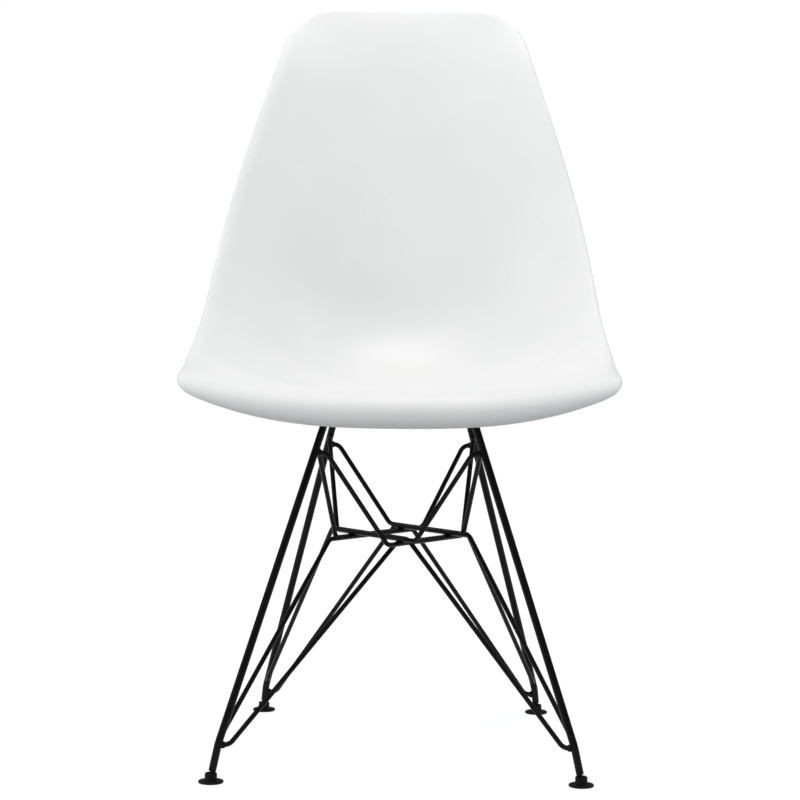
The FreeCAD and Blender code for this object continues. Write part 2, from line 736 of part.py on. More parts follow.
def glide_outline():
    """A disc that thins to a round rim, a cap above it, and the socket inside; the floor is at zero."""
    disc = size["glide_diameter"] / 2
    thick = size["glide_thickness"]
    edge = size["disc_edge"]
    cap = size["cap_diameter"] / 2
    cap_top = size["cap_height"]
    centre = size["ball_height"]
    socket = size["ball_diameter"] / 2 + size["socket_clearance"]
    throat_rise = 0.6 * socket
    throat = 0.8 * socket
    mouth = size["mouth_diameter"] / 2
    rim = size["disc_rim"]
    shoulder = size["cap_shoulder"]
    corner = 1 - math.sqrt(0.5)
    return outline_of([
        Vector(0, 0, 0),
        Vector(disc - rim, 0, 0),
        (Vector(disc - rim * corner, rim * corner, 0), Vector(disc, rim, 0)),
        Vector(disc, edge - rim, 0),
        (Vector(disc - rim * corner, edge - rim * corner, 0), Vector(disc - rim, edge, 0)),
        Vector(cap + rim, thick, 0),
        Vector(cap, thick + rim, 0),
        Vector(cap, cap_top - shoulder, 0),
        (
            Vector(cap - shoulder * corner, cap_top - shoulder * corner, 0),
            Vector(cap - shoulder, cap_top, 0),
        ),
        Vector(mouth, cap_top, 0),
        Vector(throat, centre + throat_rise, 0),
        (Vector(socket, centre, 0), Vector(0, centre - socket, 0)),
        Vector(0, 0, 0),
    ])


for side, end in corners:
    stud = turned_body(f"stud_{corner_name(side, end)}", stud_outline())
    stud.Placement = Placement(
        ball_centre(side, end), Rotation(Vector(0, 0, 1), ankle_lean(side, end))
    )
    keep(stud, f"{corner_name(side, end)}_ball_stud")
    glide = turned_body(f"glide_{corner_name(side, end)}", glide_outline())
    foot = ball_centre(side, end)
    glide.Placement = Placement(Vector(foot.x, foot.y, 0), Rotation())
    keep(glide, f"{corner_name(side, end)}_glide")


# The chair is set over the middle of its own depth

doc.recompute()
whole = Part.makeCompound([part.Shape for part in exported]).optimalBoundingBox(False, False)
middle_shift = Vector(0, -(whole.YMin + whole.YMax) / 2, 0)
for part in exported:
    part.Placement = Placement(middle_shift, Rotation()) * part.Placement
print(f"moved along by {middle_shift.y:.3f} mm")


# Every object is sound before anything is written

doc.recompute()
for item in doc.Objects:
    if "Invalid" in item.State or "Error" in item.State:
        raise ValueError(f"{item.Name} failed: {item.State}")
for part in exported:
    if part.Shape.isNull() or not part.Shape.isValid():
        raise ValueError(f"{part.Label} has no sound shape")
    if not part.Shape.Solids:
        raise ValueError(f"{part.Label} has no solid")

os.makedirs("parts", exist_ok=True)
for part in exported:
    part.Shape.exportStep(f"parts/{part.Label}.step")
    print(f"{part.Label}: {len(part.Shape.Solids)} solid(s), {part.Shape.Volume:.0f} mm3")
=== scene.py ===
import logging
import math
from collections.abc import Callable, Iterator, Sequence
from dataclasses import dataclass, field
from enum import Enum
from itertools import product

import bpy
import numpy as np
from mathutils import Matrix, Vector
from mathutils.bvhtree import BVHTree


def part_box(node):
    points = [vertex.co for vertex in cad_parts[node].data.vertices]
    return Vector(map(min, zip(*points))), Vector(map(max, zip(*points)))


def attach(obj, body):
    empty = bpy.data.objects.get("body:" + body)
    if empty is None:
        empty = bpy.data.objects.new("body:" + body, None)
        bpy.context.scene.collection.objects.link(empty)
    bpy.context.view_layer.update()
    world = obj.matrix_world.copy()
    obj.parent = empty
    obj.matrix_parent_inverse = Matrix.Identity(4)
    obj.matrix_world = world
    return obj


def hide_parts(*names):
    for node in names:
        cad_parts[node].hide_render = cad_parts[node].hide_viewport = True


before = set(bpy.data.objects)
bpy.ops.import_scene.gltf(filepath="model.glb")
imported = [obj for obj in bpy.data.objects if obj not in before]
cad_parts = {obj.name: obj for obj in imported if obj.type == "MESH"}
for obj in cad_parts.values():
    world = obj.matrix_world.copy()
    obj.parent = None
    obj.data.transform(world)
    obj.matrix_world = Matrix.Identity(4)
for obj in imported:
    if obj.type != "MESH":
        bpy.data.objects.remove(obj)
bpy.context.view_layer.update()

# Looks of a moulded plastic shell chair on a base of bent rods and brace wires.
# Sizes in the classes are millimetres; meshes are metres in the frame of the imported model.

MM = 0.001
log = logging.getLogger("shell_chair")

# Vertices of a closed surface in millimetres, and its faces as numbers of vertices
Surface = tuple[np.ndarray, list[tuple[int, ...]]]


class Opposites(Enum):
    """Names in pairs of opposites."""

    @property
    def word(self) -> str:
        """The name as the names of nodes and pieces have it."""
        return self.name.lower()

    @property
    def other(self) -> "Opposites":
        """The opposite of this one."""
        return type(self)(-self.value)


class Side(Opposites):
    """Left and right, as a person who faces the chair sees them."""

    LEFT = -1
    RIGHT = 1


class End(Opposites):
    """Front and rear of the chair."""

    FRONT = -1
    REAR = 1


class Tier(Enum):
    """The two braces of a link: one goes down to the feet, one up to the rails."""

    LOWER = "lower"
    UPPER = "upper"


class Layer(Enum):
    """Whether a link of the brace ring passes under or over its neighbours."""

    UNDER = 0
    OVER = 1


def corners() -> Iterator[tuple[End, Side]]:
    """The four corners of the chair."""
    return product(End, Side)


def corner_name(end: End, side: Side) -> str:
    """Plain name of a corner, as the nodes and the bodies use it."""
    return f"{end.word}_{side.word}"


def node_middle(name: str) -> Vector:
    """Middle of a node's box at rest, in millimetres."""
    low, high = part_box(name)
    return (low + high) / (2 * MM)


# Colours and materials

# Numbers of a colour mix's sockets, because its sockets of other kinds have the same names
MIX_SHARE, MIX_FIRST, MIX_SECOND, MIX_COLOUR = 0, 6, 7, 2

# Noise of the finishes: strength of its finer layers, and how many of them each kind has
NOISE_ROUGHNESS = 0.55
DRIFT_DETAIL, GLOSS_DETAIL, GRAIN_DETAIL = 3.0, 4.0, 2.0
# Bands of the noise that are spread over the whole range of a finish's colour, and of its gloss
DRIFT_BAND, GLOSS_BAND = (0.35, 0.68), (0.3, 0.7)
# Width of a patch of gloss, as a share of the width of a patch of colour
GLOSS_PATCH = 0.4


def linear_colour(hex_colour: str) -> tuple[float, float, float, float]:
    """Linear colour of an sRGB hex value, by the curve of the sRGB standard.

    Args:
        hex_colour: Six hex digits after a number sign.

    Returns:
        Red, green and blue as linear light, and a full alpha.
    """
    channels = [int(hex_colour[start:start + 2], 16) / 255 for start in (1, 3, 5)]
    linear = [c / 12.92 if c <= 0.04045 else ((c + 0.055) / 1.055)**2.4 for c in channels]
    return linear[0], linear[1], linear[2], 1.0


def per_metre(millimetres: float) -> float:
    """Scale of a pattern on object coordinates, from the real size of one of its features."""
    return 1 / (millimetres * MM)


def add_node(
    tree: bpy.types.NodeTree,
    kind: str,
    settings: dict[str | int, object] | None = None,
    links: dict[str | int, bpy.types.NodeSocket] | None = None,
) -> bpy.types.Node:
    """Add a node with its settings and its incoming links.

    Args:
        tree: Node tree that takes the node.
        kind: Blender's name of the node type.
        settings: Values of input sockets, by name or place, or of the node's own properties.
        links: Sockets that feed the node's inputs, by name or place.

    Returns:
        The new node.
    """
    made = tree.nodes.new(kind)
    for name, value in (settings or {}).items():
        if isinstance(name, int) or name in made.inputs:
            made.inputs[name].default_value = value
        else:
            setattr(made, name, value)
    for name, socket in (links or {}).items():
        tree.links.new(socket, made.inputs[name])
    return made


def clouds(
    tree: bpy.types.NodeTree,
    place: bpy.types.NodeSocket,
    scale: float,
    detail: float,
    band: tuple[float, float],
    reach: tuple[float, float] = (0.0, 1.0),
    roughness: float = NOISE_ROUGHNESS,
) -> bpy.types.NodeSocket:
    """Cloudy values: noise with one of its bands spread over a range.

    Args:
        tree: Node tree that takes the nodes.
        place: Coordinates of the clouds.
        scale: Clouds in one unit of the coordinates.
        detail: Layers of finer noise.
        band: Lowest and highest noise that count; what lies outside is clamped.
        reach: Values that the band's ends become.
        roughness: Strength of the finer layers.

    Returns:
        The socket with the values.
    """
    noise = add_node(tree, "ShaderNodeTexNoise", {
        "Scale": scale, "Detail": detail, "Roughness": roughness,
    }, {"Vector": place})
    values = add_node(tree, "ShaderNodeMapRange", {
        "From Min": band[0], "From Max": band[1], "To Min": reach[0], "To Max": reach[1],
    }, {"Value": noise.outputs["Fac"]})
    return values.outputs["Result"]


def marked(
    tree: bpy.types.NodeTree,
    colour: bpy.types.NodeSocket,
    mark: str,
    shape: bpy.types.NodeSocket,
    strength: bpy.types.NodeSocket,
) -> bpy.types.NodeSocket:
    """A colour with marks of another colour on it.

    Args:
        tree: Node tree that takes the nodes.
        colour: Colour of the unmarked surface.
        mark: Hex colour of the marks.
        shape: 1 on a mark and 0 beside it.
        strength: Share of the marks' colour at each place.

    Returns:
        The socket with the marked colour.
    """
    share = add_node(tree, "ShaderNodeMath", {"operation": "MULTIPLY"}, {0: shape, 1: strength})
    mixed = add_node(tree, "ShaderNodeMix", {
        "data_type": "RGBA", MIX_SECOND: linear_colour(mark),
    }, {MIX_SHARE: share.outputs["Value"], MIX_FIRST: colour})
    return mixed.outputs[MIX_COLOUR]


@dataclass(frozen=True)
class Finish:
    """What every finish has: a name, a colour that drifts, a gloss that drifts, and a grain."""

    name: str
    colour: str
    drift_colour: str
    drift_size: float
    roughness: float
    roughness_spread: float
    grain_size: float
    grain_height: float
    metallic: float = 0.0
    ior: float = 1.5
    specular: float = 0.5

    def material(self) -> bpy.types.Material:
        """The material of this finish, made on the first call and shared after that.

        Returns:
            The material, with its nodes on object coordinates in metres.
        """
        known = bpy.data.materials.get(self.name)
        if known:
            return known
        made = bpy.data.materials.new(self.name)
        made.use_nodes = True
        tree = made.node_tree
        tree.nodes.clear()
        place = add_node(tree, "ShaderNodeTexCoord").outputs["Object"]
        drift = clouds(tree, place, per_metre(self.drift_size), DRIFT_DETAIL, DRIFT_BAND)
        drifted = add_node(tree, "ShaderNodeMix", {
            "data_type": "RGBA",
            MIX_FIRST: linear_colour(self.colour),
            MIX_SECOND: linear_colour(self.drift_colour),
        }, {MIX_SHARE: drift})
        smoothest = self.roughness - self.roughness_spread
        roughest = self.roughness + self.roughness_spread
        patches = per_metre(self.drift_size * GLOSS_PATCH)
        gloss = clouds(tree, place, patches, GLOSS_DETAIL, GLOSS_BAND, (smoothest, roughest))
        grain = add_node(tree, "ShaderNodeTexNoise", {
            "Scale": per_metre(self.grain_size),
            "Detail": GRAIN_DETAIL,
            "Roughness": NOISE_ROUGHNESS,
        }, {"Vector": place})
        relief = add_node(tree, "ShaderNodeBump", {
            "Strength": 1.0, "Distance": self.grain_height * MM,
        }, {"Height": grain.outputs["Fac"]})
        shader = add_node(tree, "ShaderNodeBsdfPrincipled", {
            "Metallic": self.metallic,
            "IOR": self.ior,
            "Specular IOR Level": self.specular,
        }, {
            "Base Color": self.worn_colour(tree, place, drifted.outputs[MIX_COLOUR]),
            "Roughness": gloss,
            "Normal": relief.outputs["Normal"],
        })
        self.depth(shader)
        add_node(tree, "ShaderNodeOutputMaterial", None, {"Surface": shader.outputs["BSDF"]})
        return made

    def worn_colour(
        self, tree: bpy.types.NodeTree, place: bpy.types.NodeSocket, colour: bpy.types.NodeSocket
    ) -> bpy.types.NodeSocket:
        """The colour with the marks of use; a finish without marks gives it back as it is."""
        return colour

    def depth(self, shader: bpy.types.Node) -> None:
        """Let light into the material; most finishes let none in."""


@dataclass(frozen=True)
class MouldedPolypropylene(Finish):
    """White polypropylene from a fine spark-eroded mould.

    It gives the eye a bright, slightly milky surface with a broad soft sheen, a little light
    that goes in at the rim, and faint scuffs where people sit and slide.
    """

    name: str = "moulded_polypropylene"
    colour: str = "#F1F2F2"
    drift_colour: str = "#EDEFEF"
    drift_size: float = 140.0
    roughness: float = 0.42
    roughness_spread: float = 0.05
    # The real grain is near 0.1 mm; it is drawn coarser so that it shows in a close view
    grain_size: float = 0.9
    grain_height: float = 0.012
    ior: float = 1.49
    scuff_colour: str = "#DDE0E0"
    scuff_length: float = 42.0
    scuff_width: float = 1.6
    scuff_spacing: float = 13.0
    scuff_band: tuple[float, float] = (0.66, 0.74)
    scuff_share: float = 0.35
    worn_size: float = 85.0
    worn_band: tuple[float, float] = (0.5, 0.66)
    wear_detail: float = 2.0
    wear_roughness: float = 0.5
    # Milky depth: share of the light that goes in, and how far red, green and blue go
    milk_share: float = 0.08
    milk_reach: tuple[float, float, float] = (4.0, 4.0, 3.5)
    milk_scale: float = 0.6

    def worn_colour(
        self, tree: bpy.types.NodeTree, place: bpy.types.NodeSocket, colour: bpy.types.NodeSocket
    ) -> bpy.types.NodeSocket:
        """Faint scuffs along the sitting direction, in worn places.

        Args:
            tree: Node tree of the material.
            place: Object coordinates in metres.
            colour: Colour of the unmarked plastic.

        Returns:
            The colour with its scuffs.
        """
        # Narrow across the seat and long along it
        sizes = (self.scuff_width, self.scuff_length, self.scuff_spacing)
        grid = [per_metre(size) for size in sizes]
        stretched = add_node(tree, "ShaderNodeMapping", {"Scale": grid}, {"Vector": place})
        scuffs = clouds(
            tree, stretched.outputs["Vector"], 1.0, self.wear_detail, self.scuff_band,
            roughness=self.wear_roughness,
        )
        worn = clouds(
            tree, place, per_metre(self.worn_size), self.wear_detail, self.worn_band,
            (0.0, self.scuff_share), self.wear_roughness,
        )
        return marked(tree, colour, self.scuff_colour, scuffs, worn)

    def depth(self, shader: bpy.types.Node) -> None:
        """Give the plastic its milky depth.

        Args:
            shader: Shader of the material.
        """
        shader.inputs["Subsurface Weight"].default_value = self.milk_share
        shader.inputs["Subsurface Radius"].default_value = [reach * MM for reach in self.milk_reach]
        shader.inputs["Subsurface Scale"].default_value = self.milk_scale


@dataclass(frozen=True)
class LowWornFinish(Finish):
    """A finish whose lowest part is rubbed or scratched by shoes and by the floor."""

    rubbed_colour: str = "#3C3C3E"
    rubbed_height: float = 70.0
    rubbed_size: float = 2.4
    rubbed_share: float = 0.5
    rubbed_band: tuple[float, float] = (0.56, 0.68)
    rubbed_detail: float = 5.0

    def worn_colour(
        self, tree: bpy.types.NodeTree, place: bpy.types.NodeSocket, colour: bpy.types.NodeSocket
    ) -> bpy.types.NodeSocket:
        """Specks of a paler colour that fade out with the height above the floor.

        Args:
            tree: Node tree of the material.
            place: Object coordinates in metres.
            colour: Colour of the unmarked surface.

        Returns:
            The colour with its specks.
        """
        height = add_node(tree, "ShaderNodeSeparateXYZ", None, {"Vector": place})
        low = add_node(tree, "ShaderNodeMapRange", {
            "From Max": self.rubbed_height * MM, "To Min": self.rubbed_share, "To Max": 0.0,
        }, {"Value": height.outputs["Z"]})
        scale = per_metre(self.rubbed_size)
        specks = clouds(tree, place, scale, self.rubbed_detail, self.rubbed_band)
        return marked(tree, colour, self.rubbed_colour, specks, low.outputs["Result"])


@dataclass(frozen=True)
class PowderCoatedSteel(LowWornFinish):
    """Steel rod under black polyester powder, sprayed and baked.

    It gives the eye a near-black satin skin with a soft long highlight, the orange peel of
    baked powder, and greyer rubbed places low on the legs.
    """

    name: str = "powder_coated_steel"
    colour: str = "#070708"
    drift_colour: str = "#0B0B0C"
    drift_size: float = 35.0
    roughness: float = 0.38
    roughness_spread: float = 0.06
    specular: float = 0.12
    # Orange peel of baked powder, about a millimetre from crest to crest
    grain_size: float = 1.1
    grain_height: float = 0.035


@dataclass(frozen=True)
class MouldedNylon(LowWornFinish):
    """Black glass-filled nylon of the foot glides, moulded.

    It gives the eye a dull black with a dry grain, and pale scratches on the sole.
    """

    name: str = "moulded_nylon"
    colour: str = "#080808"
    drift_colour: str = "#0D0D0D"
    drift_size: float = 9.0
    roughness: float = 0.55
    roughness_spread: float = 0.08
    grain_size: float = 0.5
    grain_height: float = 0.02
    ior: float = 1.53
    specular: float = 0.12
    rubbed_colour: str = "#57544F"
    rubbed_height: float = 0.9
    rubbed_size: float = 1.3
    rubbed_share: float = 0.8


@dataclass(frozen=True)
class ZincPlatedSteel(Finish):
    """Cold-headed screws and stamped washers with bright zinc plate.

    It gives the eye a cool silver with cloudy, faintly yellow patches and dull dimples.
    """

    name: str = "zinc_plated_steel"
    colour: str = "#C6C9CC"
    drift_colour: str = "#BDB79F"
    drift_size: float = 4.0
    roughness: float = 0.33
    roughness_spread: float = 0.1
    grain_size: float = 0.6
    grain_height: float = 0.01
    metallic: float = 1.0


@dataclass(frozen=True)
class TurnedBrass(Finish):
    """Brass of the threaded inserts, turned on an automatic lathe.

    It gives the eye a warm yellow metal with brown tarnish in its low places.
    """

    name: str = "turned_brass"
    colour: str = "#C39A4E"
    drift_colour: str = "#8F6B33"
    drift_size: float = 3.0
    roughness: float = 0.3
    roughness_spread: float = 0.08
    grain_size: float = 0.4
    grain_height: float = 0.01
    metallic: float = 1.0


@dataclass(frozen=True)
class DieCutRubber(Finish):
    """Black neoprene of the mounting pads, die cut from sheet.

    It gives the eye a flat dark grey with chalky bloom and no highlight.
    """

    name: str = "die_cut_rubber"
    colour: str = "#1A1A1A"
    drift_colour: str = "#2A2A29"
    drift_size: float = 7.0
    roughness: float = 0.85
    roughness_spread: float = 0.07
    grain_size: float = 0.7
    grain_height: float = 0.03
    ior: float = 1.52


# Meshes

BEVEL_SEGMENTS = 3
BEVEL_DEGREES = 50.0


def settle(piece: bpy.types.Object, body: str, node: str) -> None:
    """Let a piece ride on its body, and hide the node that it stands for.

    Args:
        piece: The piece.
        body: Body that carries it.
        node: Node that it stands for.
    """
    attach(piece, body)
    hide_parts(node)
    log.info("%s: %d faces, on %s", piece.name, len(piece.data.polygons), body)


def dress_node(node: str, finish: Finish, bevel: float = 0.0) -> None:
    """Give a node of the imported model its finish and, where asked, broken edges.

    Args:
        node: Name of the node.
        finish: Its finish.
        bevel: Width of the broken edges in millimetres.
    """
    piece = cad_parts[node]
    piece.data.materials.clear()
    piece.data.materials.append(finish.material())
    if bevel:
        edge = piece.modifiers.new("broken_edges", "BEVEL")
        edge.width = bevel * MM
        edge.segments = BEVEL_SEGMENTS
        edge.limit_method = "ANGLE"
        edge.angle_limit = math.radians(BEVEL_DEGREES)
        edge.harden_normals = True
    log.info("%s: dressed in %s", node, finish.name)


@dataclass
class MeshParts:
    """Vertices and faces of several closed surfaces, gathered for one piece."""

    vertices: list[np.ndarray] = field(default_factory=list)
    faces: list[tuple[int, ...]] = field(default_factory=list)
    count: int = 0

    def add(self, vertices: np.ndarray, faces: Sequence[Sequence[int]]) -> None:
        """Add a surface.

        Args:
            vertices: Its vertices in millimetres.
            faces: Corners of each face, counted from its own first vertex.
        """
        self.vertices.append(np.asarray(vertices, float))
        self.faces.extend(tuple(self.count + corner for corner in face) for face in faces)
        self.count += len(vertices)

    def piece(self, name: str, finish: Finish, sharp_degrees: float = 35.0) -> bpy.types.Object:
        """Make one piece of the gathered surfaces.

        Args:
            name: Name of the piece.
            finish: Finish of the whole piece.
            sharp_degrees: Edges that turn by more than this are shaded as sharp.

        Returns:
            The new object, with its own mesh in metres and no transform.
        """
        mesh = bpy.data.meshes.new(name)
        vertices = np.concatenate(self.vertices) * MM
        mesh.from_pydata([tuple(point) for point in vertices], [], self.faces)
        mesh.update()
        mesh.polygons.foreach_set("use_smooth", [True] * len(mesh.polygons))
        mesh.set_sharp_from_angle(angle=math.radians(sharp_degrees))
        mesh.materials.append(finish.material())
        piece = bpy.data.objects.new(name, mesh)
        bpy.context.scene.collection.objects.link(piece)
        return piece


def rings_to_faces(rings: int, sides: int, closed: bool = False) -> list[tuple[int, ...]]:
    """Faces between rings of equal sides, with a cap on each end unless the last meets the first.

    Args:
        rings: Number of rings.
        sides: Vertices in each ring.
        closed: Whether the last ring is joined to the first one.

    Returns:
        Faces as numbers of vertices, ring after ring.
    """
    faces = []
    for ring in range(rings if closed else rings - 1):
        here, there = ring * sides, (ring + 1) % rings * sides
        for side in range(sides):
            after = (side + 1) % sides
            faces.append((here + side, here + after, there + after, there + side))
    if not closed:
        faces.append(tuple(reversed(range(sides))))
        faces.append(tuple((rings - 1) * sides + side for side in range(sides)))
    return faces


def equal_turns(sides: int) -> np.ndarray:
    """Angles, in radians, of equal steps round a circle."""
    return np.linspace(0, 2 * math.pi, sides, endpoint=False)


def turned(profile: Sequence[tuple[float, float]], sides: int) -> Surface:
    """A surface turned about the Z axis.

    Args:
        profile: Radius and height of each ring, from the bottom up on the outside.
        sides: Vertices round the axis.

    Returns:
        The surface.
    """
    turns = equal_turns(sides)
    circle = np.stack([np.cos(turns), np.sin(turns), np.zeros(sides)], -1)
    rings = [circle * radius + (0, 0, height) for radius, height in profile]
    return np.concatenate(rings), rings_to_faces(len(profile), sides)


def arc_steps(
    centre: tuple[float, float], radius: float, start: float, stop: float, count: int
) -> list[tuple[float, float]]:
    """Points of an arc in a profile.

    Args:
        centre: Radius and height of the arc's centre.
        radius: Radius of the arc.
        start: Degrees of its first point, counted from the outward direction.
        stop: Degrees of its last point.
        count: Number of steps between them.

    Returns:
        Radius and height of each point.
    """
    turns = [math.radians(start + (stop - start) * step / count) for step in range(count + 1)]
    return [
        (centre[0] + radius * math.cos(turn), centre[1] + radius * math.sin(turn)) for turn in turns
    ]


def rounded_route(
    points: Sequence[Vector], radii: Sequence[float], step_degrees: float = 5.0
) -> list[Vector]:
    """Points along straight runs, with a tangent arc at each inner corner.

    Args:
        points: Corners of the route.
        radii: Radius of the arc at each inner corner.
        step_degrees: Largest turn from one point of an arc to the next.

    Returns:
        The points of the route, with the ends.
    """
    route = [points[0].copy()]
    for before, corner, after, radius in zip(points, points[1:], points[2:], radii):
        toward = (before - corner).normalized()
        onward = (after - corner).normalized()
        half_angle = toward.angle(onward) / 2
        turn = math.pi - 2 * half_angle
        centre = corner + (toward + onward).normalized() * (radius / math.sin(half_angle))
        start = corner + toward * (radius / math.tan(half_angle)) - centre
        side = -toward
        steps = max(2, math.ceil(math.degrees(turn) / step_degrees))
        for step in range(steps + 1):
            angle = turn * step / steps
            route.append(centre + start * math.cos(angle) + side * radius * math.sin(angle))
    route.append(points[-1].copy())
    return route


def rod(route: Sequence[Vector], radius: float, sides: int, chamfer: float) -> Surface:
    """A round rod along a route, with broken edges at its cut ends.

    Args:
        route: Points of the rod's axis.
        radius: Radius of the rod.
        sides: Vertices round the rod.
        chamfer: Width of the broken edges.

    Returns:
        The surface.
    """
    first, last = route[0], route[-1]
    first_way = (route[1] - first).normalized()
    last_way = (last - route[-2]).normalized()
    axis = [first, first + first_way * chamfer] + list(route[1:-1])
    axis += [last - last_way * chamfer, last]
    across = first_way.orthogonal().normalized()
    rings = []
    for number, point in enumerate(axis):
        before = axis[max(number - 1, 0)]
        after = axis[min(number + 1, len(axis) - 1)]
        way = (after - before).normalized()
        across = (across - way * across.dot(way)).normalized()
        up = way.cross(across)
        reach = radius - chamfer if number in (0, len(axis) - 1) else radius
        for side in range(sides):
            turn = 2 * math.pi * side / sides
            rings.append(point + (across * math.cos(turn) + up * math.sin(turn)) * reach)
    return np.array(rings), rings_to_faces(len(axis), sides)


# Seat shell


@dataclass(frozen=True)
class SmoothCurve:
    """A cubic curve through points, with the end slopes of a cubic through four points."""

    knots: np.ndarray
    points: np.ndarray
    slopes: np.ndarray

    @classmethod
    def through(cls, knots: np.ndarray, points: np.ndarray) -> "SmoothCurve":
        """Make the curve that passes each point at its knot.

        Args:
            knots: Places of the points along the curve, from 0 to 1.
            points: The points, one in each row.

        Returns:
            The curve.
        """
        count = len(knots)
        gaps = np.diff(knots)
        rises = np.diff(points, axis=0) / gaps[:, None]
        rule = np.zeros((count, count))
        target = np.zeros_like(points)
        rule[0, 0] = rule[-1, -1] = 1
        target[0] = np.polyfit(knots[:4] - knots[0], points[:4], 3)[-2]
        target[-1] = np.polyfit(knots[-4:] - knots[-1], points[-4:], 3)[-2]
        for here in range(1, count - 1):
            before, after = gaps[here - 1], gaps[here]
            rule[here, here - 1:here + 2] = after, 2 * (before + after), before
            target[here] = 3 * (after * rises[here - 1] + before * rises[here])
        return cls(knots, points, np.linalg.solve(rule, target))

    def at(self, places: np.ndarray) -> np.ndarray:
        """Find points of the curve.

        Args:
            places: Places along the curve, from 0 to 1, in an array of any shape.

        Returns:
            The points, in an array of that shape with one more axis.
        """
        flat = np.ravel(places)
        span = np.clip(np.searchsorted(self.knots, flat) - 1, 0, len(self.knots) - 2)
        gap = (self.knots[span + 1] - self.knots[span])[:, None]
        share = (flat - self.knots[span])[:, None] / gap
        rest = 1 - share
        made = self.points[span] * (1 + 2 * share) * rest**2
        made += self.points[span + 1] * (3 - 2 * share) * share**2
        made += gap * share * rest * (self.slopes[span] * rest - self.slopes[span + 1] * share)
        return made.reshape(*np.shape(places), -1)


